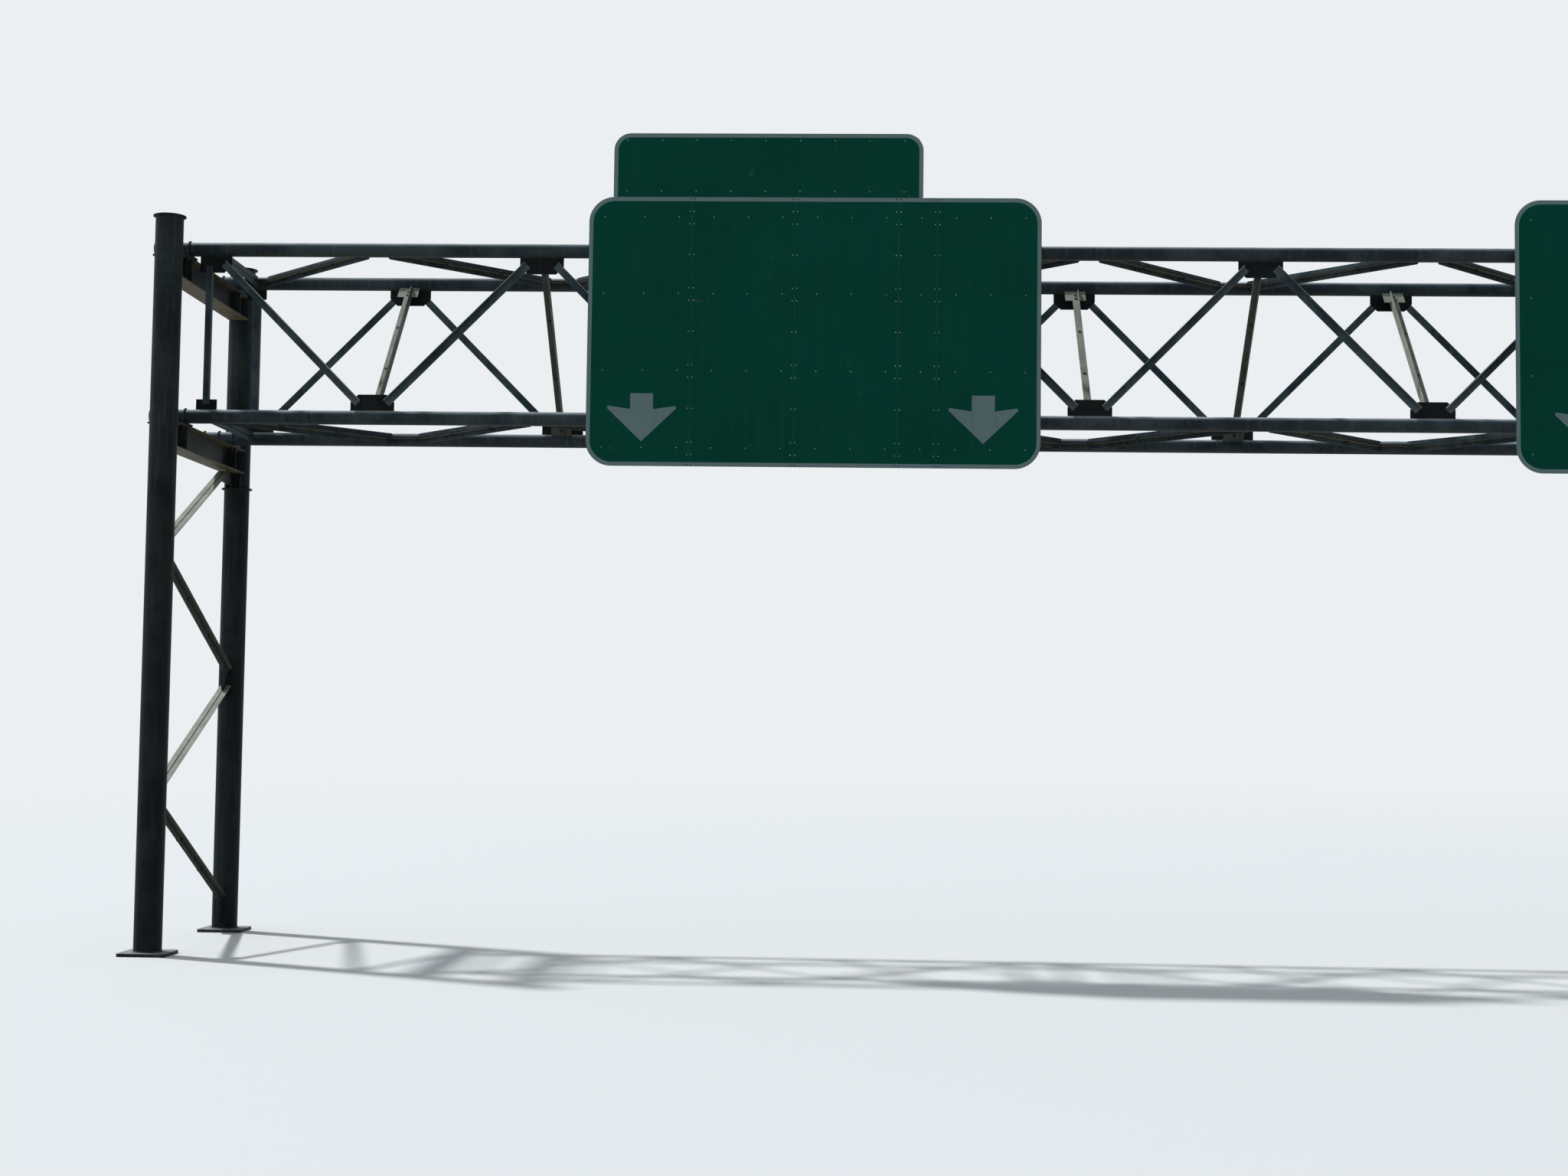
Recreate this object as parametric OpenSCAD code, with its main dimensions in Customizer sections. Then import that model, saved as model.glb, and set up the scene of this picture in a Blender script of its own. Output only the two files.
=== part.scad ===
// Overhead sign gantry: a box truss of steel pipe and angle bars on two braced towers,
// with two flat sheet signs hung on its front. Millimetres, +Z up.
// The origin is on the ground under the middle of the truss. -Y is the side that the signs face.

/* [Truss] */
// Distance between neighbouring nodes along a chord
panel = 2005; // [1700:5:2400]
// Distance between the last nodes on the two sides of a field splice
splice_panel = 520; // [500:10:700]
// Depth of the truss from front to rear, between chord centres
truss_depth = 2032; // [1700:8:2300]
// Height of the truss, between chord centres
truss_height = 2025; // [1700:5:2300]
// Height of the bottom chords' centres above the ground
chord_level = 6350; // [6000:10:7000]
// Length of chord past the last node, where it lies on the tower
chord_tail = 670; // [670:10:900]

/* [Chords] */
// Outside diameter of the chord pipes
chord_od = 168; // [140:2:200]
// Wall of the chord pipes
chord_wall = 7; // [5:0.5:12]
// Diameter of the splice flanges
flange_od = 290; // [270:5:330]
// Thickness of one splice flange
flange_t = 25; // [16:1:40]
// Number of bolts in a splice flange
flange_bolts = 8; // [6:1:10]
// Diameter of the bolt holes in a splice flange
flange_hole = 26; // [20:1:30]
// Thickness of the plates that close the chord ends
end_cap_t = 6; // [4:1:12]

/* [Web bars] */
// Flat leg of the web angles, which lies on the gusset plates
web_leg = 89; // [70:1:102]
// Outstanding leg of the web angles
web_outstand = 64; // [50:1:76]
// Thickness of the web angles
web_t = 8; // [5:0.5:12]
// Distance from a node to the end of a web angle
web_back = 245; // [220:5:290]
// Distance from a chord's centre to the end of an upright angle on a gusset plate
upright_back = 200; // [180:5:230]
// Distance from a chord's centre to the end of an upright angle on a corner plate
end_bar_back = 150; // [120:5:190]

/* [Lacing and sway bars] */
// Long legs of the double angles, which hold the connection plates between them
pair_long = 76; // [60:1:90]
// Short legs of the double angles
pair_short = 64; // [50:1:76]
// Thickness of the double angles
pair_t = 6.5; // [5:0.5:10]
// Distance from a node to the end of a lacing bar
lacing_back = 195; // [180:5:240]
// Distance from a chord's centre to the end of a sway bar or strut
sway_back = 112; // [104:1:130]
// Size of the clipped corners of the short legs
pair_clip = 22; // [10:1:40]

/* [Gusset plates] */
// Thickness of the web gusset plates
gusset_t = 12; // [8:1:20]
// Thickness of the lacing, strut and sway connection plates
plate_t = 10; // [6:1:16]
// Half the width of a gusset plate
gusset_half = 263; // [240:1:300]
// Reach of a gusset plate past its node on a side without a bar
gusset_short = 120; // [60:1:140]
// Depth of a gusset plate beyond the chord's face
gusset_depth = 196; // [180:1:240]
// Height of a gusset plate's upright side edge
gusset_side = 104; // [80:1:150]
// Half the width of a corner plate, where only an end angle meets a chord
corner_half = 125; // [100:1:160]
// Depth of a corner plate beyond the chord's face
corner_depth = 125; // [100:1:160]
// Half the width of a sway plate or strut plate
sway_plate_half = 130; // [90:1:160]
// Length of a sway plate or strut plate along its bar
sway_plate_len = 208; // [150:1:240]

/* [Towers] */
// Distance from the end node of the truss to the centre line of the tower
tower_offset = 343; // [300:1:400]
// Distance between the front post and the rear post
post_spacing = 3065; // [2800:5:3300]
// Outside diameter of the posts
post_od = 324; // [280:2:360]
// Wall of the posts
post_wall = 9.5; // [6:0.5:16]
// Height of the post tops above the centres of the top chords
post_above = 275; // [200:5:500]
// Diameter of the post caps
cap_od = 381; // [370:1:420]
// Thickness of the post caps
cap_t = 12; // [8:1:20]

/* [Base plates] */
// Width of a base plate
base_w = 560; // [520:10:640]
// Thickness of a base plate
base_t = 38; // [25:1:60]
// Distance between neighbouring anchor bolt holes
anchor_spacing = 440; // [420:5:460]
// Diameter of the anchor bolt holes
anchor_hole = 45; // [30:1:50]
// Radius of the base plates' corners
base_corner = 30; // [10:1:50]

/* [Beams] */
// Depth of the beams that carry the chords
beam_depth = 306; // [250:2:360]
// Width of the beam flanges
beam_width = 254; // [220:2:280]
// Thickness of the beam flanges
beam_flange_t = 14.6; // [10:0.2:20]
// Thickness of the beam webs
beam_web_t = 9; // [6:0.5:14]
// Thickness of the stiffener plates in a beam
stiffener_t = 12; // [8:1:20]
// Depth of the seat bracket under the rear end of a bottom beam
bracket_depth = 200; // [150:5:260]
// Thickness of the bracket's plates
bracket_t = 16; // [10:1:25]
// Reach of the bracket's ring plate past the post
bracket_reach = 33; // [15:1:50]

/* [Saddles] */
// Thickness of the saddle plates between beam and chord
saddle_t = 20; // [12:1:30]
// Length of a saddle plate along the truss, from the beam's centre line outwards
saddle_out = 315; // [310:1:325]
// Length of a saddle plate along the truss, from the beam's centre line inwards
saddle_in = 140; // [130:5:160]
// Half the width of a saddle plate across the truss
saddle_half = 150; // [130:5:180]
// Diameter of the U-bolt rods
u_rod = 19; // [14:1:24]
// Distance from the beam's centre line to the U-bolts beside its web
u_near = 95; // [80:1:100]
// Distance from the beam's centre line to the outer U-bolt
u_far = 285; // [270:1:290]
// Length of a U-bolt leg below the plate or flange that it holds
u_tail = 45; // [30:1:70]

/* [Tower bracing] */
// Rise of one tower brace between the post centres
brace_rise = 1459; // [1350:1:1500]
// Height of the lowest brace node above the ground
brace_foot = 330; // [280:5:360]
// Outstanding legs of the tower braces
brace_wide = 67; // [50:1:102]
// Legs of the tower braces that hold the gusset plates
brace_deep = 76; // [60:1:90]
// Thickness of the tower brace angles
brace_t = 8; // [5:0.5:12]
// Thickness of the tower gusset plates
tower_plate_t = 12; // [8:1:20]
// Distance from a post's centre to the end of a brace
brace_back = 225; // [210:5:260]
// Distance from the rear post's centre to the upper end of the top brace
brace_back_top = 580; // [570:5:760]
// Height of a tower gusset plate
tower_plate_h = 420; // [380:5:480]
// Reach of a tower gusset plate from the post's face
tower_plate_reach = 270; // [220:5:320]

/* [Signs] */
// Widths of the sheets of one sign, from left to right
sheet_widths = [1219, 1219, 1219, 457, 1220];
// Height of a sign
sign_h = 3200; // [3000:10:3400]
// Left edge of the left sign
left_sign_x = -7940; // [-8000:10:-7900]
// Left edge of the right sign
right_sign_x = 2880; // [2800:10:2900]
// Corner radius of a sign
sign_corner = 305; // [200:5:350]
// Thickness of the sheets
sheet_t = 3.2; // [2:0.2:5]
// Gap between neighbouring sheets
sheet_seam = 1; // [0.5:0.5:2]
// Width of the exit panel
exit_w = 3658; // [3400:2:3900]
// Height of the exit panel
exit_h = 762; // [700:2:900]
// Distance from the sign's left edge to the exit panel's left edge
exit_inset = 283; // [250:1:300]
// Corner radius of the exit panel
exit_corner = 203; // [150:1:250]
// Gap between the exit panel and the sign
exit_gap = 3; // [2:0.5:6]

/* [Sign supports] */
// Distances of the hangers from a sign's left edge
hanger_places = [700, 2667, 4634];
// Depth of the hanger beams
hanger_depth = 150; // [130:2:180]
// Width of the hanger beams' flanges
hanger_width = 100; // [80:2:120]
// Thickness of the hanger beams' flanges and webs
hanger_t = 6; // [5:0.5:10]
// Distance from the sign's edge to the end of a hanger
hanger_short = 60; // [30:5:120]
// Diameter of the U-bolt rods that hold the hangers to the chords
hanger_rod = 16; // [12:1:20]
// Distance from a hanger's centre line to its U-bolts
hanger_rod_side = 28; // [20:1:32]
// Length of a hanger's U-bolt leg past the flange
hanger_rod_tail = 30; // [20:1:50]
// Depth of the sign rails
rail_depth = 76; // [60:1:90]
// Width of the rail flanges
rail_flange = 45; // [35:1:60]
// Thickness of the rails
rail_t = 5; // [4:0.5:8]
// Distance from the top and bottom edge of a sign to the nearest rail
rail_edge = 229; // [200:1:260]
// Number of rails on a sign
rail_count = 4; // [3:1:6]
// Distance from the exit panel's edges to its rails
exit_rail_edge = 76; // [60:1:100]
// Distance from a sign's side edge to the end of a rail
rail_short = 50; // [20:5:80]

/* [Hidden] */
// Clearance at welded and clamped seats on round pipe
seat = 0.3;
// Clearance round a bolt in its hole
hole_clearance = 3;

$fn = 64;

chord_r = chord_od / 2;
post_r = post_od / 2;
top_level = chord_level + truss_height;
side_y = truss_depth / 2;
post_y = post_spacing / 2;
mid_panels = 3;
splice_x = mid_panels * panel + splice_panel / 2;
inner_end_x = splice_x + splice_panel / 2;
end_panels = 3;
end_x = inner_end_x + end_panels * panel;
tower_x = end_x + tower_offset;
chord_end_x = end_x + chord_tail;
plate_root = chord_r + seat;

beam_drop = chord_r + saddle_t;
post_top = top_level + post_above;
post_cut_r = post_r + seat;
sign_w = sheet_widths[0] + sheet_widths[1] + sheet_widths[2] + sheet_widths[3] + sheet_widths[4];
sign_mid = chord_level + truss_height / 2;
sign_low = sign_mid - sign_h / 2;
sign_top = sign_mid + sign_h / 2;
hanger_back_y = -side_y - plate_root;
hanger_face_y = hanger_back_y - hanger_depth;
sheet_back_y = hanger_face_y - rail_depth;

steel = "#4a5258";
steel_dark = "#3b4248";
steel_light = "#6a7278";
alloy = "#8d9294";
sign_green = "#0b4a3c";

// The nodes of one section of the truss, as [x, is_low] pairs. A low node has its front web
// gusset on the bottom chord and its rear one on the top chord. section: -1 left, 0 middle, 1 right
function section_nodes(section) =
    section == 0
    ? [for (i = [-mid_panels : mid_panels]) [i * panel, i % 2 != 0]]
    : [for (i = [0 : end_panels]) [section * (inner_end_x + i * panel), i % 2 == 0]];

// The level of the web gusset of a node. side: -1 front, 1 rear
function web_level(is_low, side) = (is_low == (side < 0)) ? chord_level : top_level;

// The other level than the one given
function far_level(level) = level == chord_level ? top_level : chord_level;

// True for the last node at either end of a section
function is_end(i, section) = i == 0 || i == len(section_nodes(section)) - 1;

// One angle bar along +X. Its flat leg backs on the plane y = 0 and its other leg stands to -Y
module angle_bar(length, flat, stand, t) {
    rotate([90, 0, 90])
        linear_extrude(length)
            polygon([
                [0, -flat / 2], [0, flat / 2], [-stand, flat / 2],
                [-stand, flat / 2 - t], [-t, flat / 2 - t], [-t, -flat / 2]
            ]);
}

// Two angle bars along +X with their long legs back to back on either side of the plane z = 0.
// heel: 1 or -1, the side in Y on which the short legs stand
module angle_pair(length, long, short, t, gap, heel) {
    for (turn = [0, 1])
        mirror([0, 0, turn])
            mirror([0, heel < 0 ? 1 : 0, 0])
                translate([0, long / 2, gap / 2]) {
                    translate([0, -long, 0])
                        cube([length, long, t]);
                    rotate([90, 0, 0])
                        linear_extrude(t)
                            polygon([
                                [0, 0], [length, 0], [length, short - pair_clip], [length - pair_clip, short],
                                [pair_clip, short], [0, short - pair_clip]
                            ]);
                }
}

// Outline of a gusset plate on a chord along X, which reaches to +Y.
// before, after: its reach past the node to -X and +X
module gusset_outline(before, after) {
    chamfer = gusset_depth - gusset_side;
    left_cut = before > gusset_short ? chamfer : 0;
    right_cut = after > gusset_short ? chamfer : 0;
    polygon([
        [-before, plate_root],
        [-before, plate_root + gusset_depth - left_cut],
        [-before + left_cut, plate_root + gusset_depth],
        [after - right_cut, plate_root + gusset_depth],
        [after, plate_root + gusset_depth - right_cut],
        [after, plate_root]
    ]);
}

// A gusset plate of a node, in the reach that its bars need
module node_gusset(i, section, t) {
    nodes = section_nodes(section);
    first_x = nodes[0][0] < nodes[len(nodes) - 1][0] ? 0 : len(nodes) - 1;
    last_x = first_x == 0 ? len(nodes) - 1 : 0;
    before = i == first_x ? gusset_short : gusset_half;
    after = i == last_x ? gusset_short : gusset_half;
    translate([0, 0, -t / 2])
        linear_extrude(t)
            gusset_outline(before, after);
}

// A web angle between two nodes of one face of the truss
module web_bar(a, b, side) {
    left = a[0] < b[0] ? a : b;
    right = a[0] < b[0] ? b : a;
    rise = web_level(right[1], side) - web_level(left[1], side);
    run = right[0] - left[0];
    length = sqrt(rise * rise + run * run);
    translate([left[0], side * (side_y + gusset_t / 2), web_level(left[1], side)])
        rotate([0, -atan2(rise, run), 0])
            translate([web_back, 0, 0])
                mirror([0, side > 0 ? 1 : 0, 0])
                    angle_bar(length - 2 * web_back, web_leg, web_outstand, web_t);
}

// The web of one face of one section
module web(section, side) {
    nodes = section_nodes(section);
    for (i = [0 : len(nodes) - 2])
        web_bar(nodes[i], nodes[i + 1], side);
}

// The lacing of the top or bottom face of one section
module lacing(section, level) {
    nodes = section_nodes(section);
    low_side = level == top_level ? -1 : 1;
    for (i = [0 : len(nodes) - 2]) {
        a = nodes[i];
        b = nodes[i + 1];
        left = a[0] < b[0] ? a : b;
        right = a[0] < b[0] ? b : a;
        left_y = (left[1] ? low_side : -low_side) * side_y;
        run = right[0] - left[0];
        cross = -2 * left_y;
        length = sqrt(run * run + cross * cross);
        translate([left[0], left_y, level])
            rotate([0, 0, atan2(cross, run)])
                translate([lacing_back, 0, 0])
                    angle_pair(length - 2 * lacing_back, pair_long, pair_short, pair_t, plate_t, 1);
    }
}

// Places its children at a node's sway bar: along +X towards the other chord,
// with +Y across the bar
module at_sway(x, is_low, from_rear) {
    low = is_low ? chord_level : top_level;
    rise = far_level(low) - low;
    tilt = atan2(rise, truss_depth);
    translate([x, from_rear ? side_y : -side_y, from_rear ? far_level(low) : low])
        rotate([0, 0, 90])
            rotate([0, -tilt + (from_rear ? 180 : 0), 0])
                children();
}

// The sway bars of one section, at all its nodes but the first and the last
module section_sway(section) {
    nodes = section_nodes(section);
    length = sqrt(truss_depth * truss_depth + truss_height * truss_height);
    for (i = [1 : len(nodes) - 2])
        at_sway(nodes[i][0], nodes[i][1], false)
            translate([sway_back, 0, 0])
                angle_pair(length - 2 * sway_back, pair_long, pair_short, pair_t, plate_t,
                           nodes[i][0] > 0 ? 1 : -1);
}

module section_sway_plates(section) {
    nodes = section_nodes(section);
    for (i = [1 : len(nodes) - 2], rear = [false, true])
        at_sway(nodes[i][0], nodes[i][1], rear)
            translate([plate_root, -sway_plate_half, -plate_t / 2])
                cube([sway_plate_len, 2 * sway_plate_half, plate_t]);
}

// The frame that closes a section: an angle on each face, and a double angle across top and bottom
module end_frame(x, is_low) {
    for (side = [-1, 1]) {
        base = web_level(is_low, side);
        up = base == chord_level;
        low_back = up ? upright_back : end_bar_back;
        high_back = up ? end_bar_back : upright_back;
        translate([x, side * (side_y + gusset_t / 2), chord_level + low_back])
            rotate([0, -90, 0])
                mirror([0, side > 0 ? 1 : 0, 0])
                    mirror([0, 0, x < 0 ? 1 : 0])
                        angle_bar(truss_height - low_back - high_back, web_leg, web_outstand, web_t);
    }
    for (level = [chord_level, top_level])
        translate([x, -side_y + sway_back, level])
            rotate([0, 0, 90])
                angle_pair(truss_depth - 2 * sway_back, pair_long, pair_short, pair_t, plate_t,
                           x > 0 ? 1 : -1);
}

// The plates in the planes of the front and rear webs, on the chords
module section_web_gussets(section) {
    nodes = section_nodes(section);
    for (i = [0 : len(nodes) - 1], side = [-1, 1]) {
        level = web_level(nodes[i][1], side);
        translate([nodes[i][0], side * side_y, level])
            mirror([0, 0, level == top_level ? 1 : 0])
                rotate([90, 0, 0])
                    node_gusset(i, section, gusset_t);
        if (is_end(i, section))
            translate([nodes[i][0], side * side_y, far_level(level)])
                mirror([0, 0, level == top_level ? 0 : 1])
                    translate([-corner_half, -gusset_t / 2, plate_root])
                        cube([2 * corner_half, gusset_t, corner_depth]);
    }
}

// The level plates on the chords, for the lacing and for the struts of the end frames
module section_lacing_plates(section) {
    nodes = section_nodes(section);
    for (i = [0 : len(nodes) - 1], level = [chord_level, top_level]) {
        low_side = level == top_level ? -1 : 1;
        side = nodes[i][1] ? low_side : -low_side;
        translate([nodes[i][0], side * side_y, level])
            mirror([0, side > 0 ? 1 : 0, 0])
                node_gusset(i, section, plate_t);
        if (is_end(i, section))
            translate([nodes[i][0], -side * side_y, level])
                mirror([0, side > 0 ? 0 : 1, 0])
                    translate([-sway_plate_half, plate_root, -plate_t / 2])
                        cube([2 * sway_plate_half, sway_plate_len, plate_t]);
    }
}

// The four chord pipes of the middle section
module middle_chord_pipes() {
    half = splice_x - seat;
    for (side = [-1, 1], level = [chord_level, top_level])
        translate([-half, side * side_y, level])
            rotate([0, 90, 0])
                difference() {
                    cylinder(h = 2 * half, r = chord_r);
                    translate([0, 0, -1])
                        cylinder(h = 2 * half + 2, r = chord_r - chord_wall);
                }
}

// The four chord pipes of an end section, closed by a plate at the outer end
module end_chord_pipes(section) {
    inner = splice_x + seat;
    length = chord_end_x - inner;
    for (side = [-1, 1], level = [chord_level, top_level])
        translate([section * inner, side * side_y, level])
            rotate([0, section * 90, 0])
                difference() {
                    cylinder(h = length, r = chord_r);
                    translate([0, 0, -1])
                        cylinder(h = length + 1 - end_cap_t, r = chord_r - chord_wall);
                }
}

// The flanges on both sides of each field splice, with their bolt holes
module splice_rings() {
    bolt_ring = (chord_od + flange_od) / 4;
    for (end = [-1, 1], side = [-1, 1], level = [chord_level, top_level], away = [-1, 1])
        translate([end * splice_x, side * side_y, level])
            rotate([0, away * 90, 0])
                translate([0, 0, seat])
                    difference() {
                        cylinder(h = flange_t, d = flange_od);
                        translate([0, 0, -1])
                            cylinder(h = flange_t + 2, r = plate_root);
                        for (turn = [0.5 : flange_bolts])
                            rotate([0, 0, turn * 360 / flange_bolts])
                                translate([bolt_ring, 0, -1])
                                    cylinder(h = flange_t + 2, d = flange_hole);
                    }
}

// One post. end: -1 left tower, 1 right tower. side: -1 front, 1 rear
module post(end, side) {
    translate([end * tower_x, side * post_y, base_t])
        difference() {
            cylinder(h = post_top - base_t, r = post_r);
            translate([0, 0, -1])
                cylinder(h = post_top - base_t + 2, r = post_r - post_wall);
        }
}

module cap_discs() {
    for (end = [-1, 1], side = [-1, 1])
        translate([end * tower_x, side * post_y, post_top])
            cylinder(h = cap_t, d = cap_od);
}

// The two base plates of a tower, each with four anchor bolt holes
module base_plate_pair(end) {
    for (side = [-1, 1])
        translate([end * tower_x, side * post_y, 0])
            difference() {
                linear_extrude(base_t)
                    rounded_rect(base_w, base_w, base_corner, base_corner);
                for (x = [-1, 1], y = [-1, 1])
                    translate([x * anchor_spacing / 2, y * anchor_spacing / 2, -1])
                        cylinder(h = base_t + 2, d = anchor_hole);
            }
}

// A rectangle about the origin with round corners: top_r above and low_r below
module rounded_rect(w, h, top_r, low_r) {
    for (x = [-1, 1]) {
        translate([x * (w / 2 - top_r), h / 2 - top_r])
            circle(top_r);
        if (low_r > 0)
            translate([x * (w / 2 - low_r), -h / 2 + low_r])
                circle(low_r);
    }
    translate([-w / 2 + top_r, 0])
        square([w - 2 * top_r, h / 2]);
    translate([-w / 2 + low_r, -h / 2])
        square([w - 2 * low_r, h / 2]);
    translate([-w / 2, -h / 2 + low_r])
        square([w, h - top_r - low_r]);
}

// A beam from the front post to the rear post, with stiffeners under the chords.
// level: the centre of the chords that it carries
module beam(end, level) {
    top = level - beam_drop;
    inner_h = beam_depth - 2 * beam_flange_t;
    difference() {
        translate([end * tower_x, 0, top]) {
            for (z = [-beam_flange_t, -beam_depth])
                translate([-beam_width / 2, -post_y, z])
                    cube([beam_width, post_spacing, beam_flange_t]);
            translate([-beam_web_t / 2, -post_y, -beam_depth])
                cube([beam_web_t, post_spacing, beam_depth]);
            for (side = [-1, 1])
                translate([-beam_width / 2, side * side_y - stiffener_t / 2, -beam_depth + beam_flange_t])
                    cube([beam_width, stiffener_t, inner_h]);
        }
        for (side = [-1, 1])
            translate([end * tower_x, side * post_y, top - beam_depth - 1])
                cylinder(h = beam_depth + 2, r = post_cut_r);
        for (side = [-1, 1], x = [-u_near, u_near], leg = [-1, 1])
            translate([end * tower_x + x, side * side_y + leg * u_leg(u_rod), top - beam_flange_t - 1])
                cylinder(h = beam_flange_t + 2, d = u_rod + hole_clearance);
    }
}

// Distance of a U-bolt leg from the centre of the chord that it holds
function u_leg(rod) = chord_r + seat + rod / 2;

// The saddle plates on which the chords lie, with holes for the U-bolts
module saddles() {
    for (end = [-1, 1], side = [-1, 1], level = [chord_level, top_level])
        translate([end * tower_x, side * side_y, level - chord_r - saddle_t])
            mirror([end < 0 ? 1 : 0, 0, 0])
                difference() {
                    translate([-saddle_in, -saddle_half, 0])
                        cube([saddle_in + saddle_out, 2 * saddle_half, saddle_t - seat]);
                    for (x = [-u_near, u_near, u_far], leg = [-1, 1])
                        translate([x, leg * u_leg(u_rod), -1])
                            cylinder(h = saddle_t + 2, d = u_rod + hole_clearance);
                }
}

// The U-bolts that hold the chords down on their saddles
module tower_u_bolts() {
    for (end = [-1, 1], side = [-1, 1], level = [chord_level, top_level])
        translate([end * tower_x, side * side_y, level])
            mirror([end < 0 ? 1 : 0, 0, 0]) {
                for (x = [-u_near, u_near])
                    translate([x, 0, 0])
                        u_bolt(u_rod, beam_drop + beam_flange_t + u_tail);
                translate([u_far, 0, 0])
                    u_bolt(u_rod, beam_drop + u_tail);
            }
}

// A U-bolt over a chord along X, with its legs down to the depth given
module u_bolt(rod, depth) {
    rotate([90, 0, 90])
        rotate_extrude(angle = 180)
            translate([u_leg(rod), 0])
                circle(d = rod, $fn = 24);
    for (leg = [-1, 1])
        translate([0, leg * u_leg(rod), -depth])
            cylinder(h = depth, d = rod, $fn = 24);
}

// The bracket under the rear end of each bottom beam: a ring plate and two upright plates
module brackets() {
    top = chord_level - beam_drop - beam_depth;
    for (end = [-1, 1])
        translate([end * tower_x, post_y, top - bracket_depth])
            difference() {
                union() {
                    cylinder(h = bracket_t, r = post_r + bracket_reach);
                    for (x = [-1, 1])
                        translate([x * beam_width / 3 - bracket_t / 2, -post_r - bracket_reach, 0])
                            cube([bracket_t, post_r, bracket_depth]);
                }
                translate([0, 0, -1])
                    cylinder(h = bracket_depth + 2, r = post_cut_r);
            }
}

// The levels of the brace nodes, from the lowest, which is on the rear post
function brace_level(i) = brace_foot + i * brace_rise;

// The gusset plates of the tower bracing, in the plane of the posts
module tower_gussets() {
    for (end = [-1, 1])
        for (i = [0 : 4]) {
            side = i % 2 == 0 ? 1 : -1;
            low = max(brace_level(i) - tower_plate_h / 2, base_t);
            under_beam = chord_level - beam_drop - beam_depth;
            high = min(brace_level(i) + tower_plate_h / 2, under_beam);
            translate([end * tower_x, 0, 0])
                if (i < 4)
                    tower_gusset(side, low, high, tower_plate_reach);
                else
                    top_tower_gusset(under_beam);
        }
}

// A tower gusset plate with its outer corners cut, welded to a post's inner face
module tower_gusset(side, low, high, reach) {
    cut = reach / 3;
    root = post_y - post_r - seat;
    mirror([0, side > 0 ? 0 : 1, 0])
        rotate([90, 0, 90])
            translate([0, 0, -tower_plate_t / 2])
                linear_extrude(tower_plate_t)
                    polygon([
                        [root, low], [root, high], [root - reach + cut, high],
                        [root - reach, high - cut], [root - reach, low + cut], [root - reach + cut, low]
                    ]);
}

// The gusset plate under the rear end of a bottom beam, which carries the top brace.
// It stands on the bracket's ring plate
module top_tower_gusset(high) {
    root = post_y - post_r - seat;
    low = high - bracket_depth + bracket_t + seat;
    slope = brace_rise / post_spacing;
    tip = post_y - brace_back_top - brace_deep * 2;
    tip_level = brace_level(4) - slope * (post_y - tip);
    rotate([90, 0, 90])
        translate([0, 0, -tower_plate_t / 2])
            linear_extrude(tower_plate_t)
                polygon([
                    [root, low], [root, high], [post_y - brace_back_top + brace_deep, high],
                    [tip, tip_level + brace_deep / 2], [tip, tip_level - brace_deep / 2]
                ]);
}

// The four double angles of a tower, from post to post
module tower_bracing(end) {
    length = sqrt(post_spacing * post_spacing + brace_rise * brace_rise);
    stretch = length / post_spacing;
    for (i = [0 : 3]) {
        from_rear = i % 2 == 0;
        high_back = i == 3 ? brace_back_top : brace_back;
        translate([end * tower_x, from_rear ? post_y : -post_y, brace_level(i)])
            rotate([0, 0, from_rear ? -90 : 90])
                rotate([0, -atan2(brace_rise, post_spacing), 0])
                    translate([brace_back * stretch, 0, 0])
                        rotate([90, 0, 0])
                            angle_pair(length - (brace_back + high_back) * stretch, brace_deep,
                                       brace_wide, brace_t, tower_plate_t, 1);
    }
}

// Places its children at a sign's lower left corner, on the back of its sheets,
// with +X along the sign and +Y up
module at_sign(x, z) {
    translate([x, sheet_back_y, z])
        rotate([90, 0, 0])
            children();
}

// Left edge of sheet i of a sign, from the sign's own left edge
function sheet_left(i) = i == 0 ? 0 : sheet_left(i - 1) + sheet_widths[i - 1];

module sign_sheets(x) {
    at_sign(x, sign_low)
        for (i = [0 : len(sheet_widths) - 1])
            linear_extrude(sheet_t)
                intersection() {
                    translate([sign_w / 2, sign_h / 2])
                        rounded_rect(sign_w, sign_h, sign_corner, sign_corner);
                    translate([sheet_left(i) + sheet_seam / 2, -1])
                        square([sheet_widths[i] - sheet_seam, sign_h + 2]);
                }
}

module exit_sheet() {
    at_sign(left_sign_x + exit_inset, sign_top + exit_gap)
        linear_extrude(sheet_t)
            translate([exit_w / 2, exit_h / 2])
                rounded_rect(exit_w, exit_h, exit_corner, 0);
}

// A Z-shaped rail along +X, from the hangers' faces to the back of the sheets
module rail(length) {
    rotate([90, 0, 90])
        linear_extrude(length)
            polygon([
                [0, -rail_t / 2], [0, rail_flange - rail_t / 2], [-rail_t, rail_flange - rail_t / 2],
                [-rail_t, rail_t / 2], [-rail_depth, rail_t / 2], [-rail_depth, -rail_flange + rail_t / 2],
                [-rail_depth + rail_t, -rail_flange + rail_t / 2], [-rail_depth + rail_t, -rail_t / 2]
            ]);
}

module sign_rails(x) {
    pitch = (sign_h - 2 * rail_edge) / (rail_count - 1);
    for (i = [0 : rail_count - 1])
        translate([x + rail_short, hanger_face_y, sign_low + rail_edge + i * pitch])
            rail(sign_w - 2 * rail_short);
}

module exit_rails() {
    low = sign_top + exit_gap;
    for (z = [low + exit_rail_edge, low + exit_h - exit_rail_edge])
        translate([left_sign_x + exit_inset + rail_short, hanger_face_y, z])
            rail(exit_w - 2 * rail_short);
}

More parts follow.
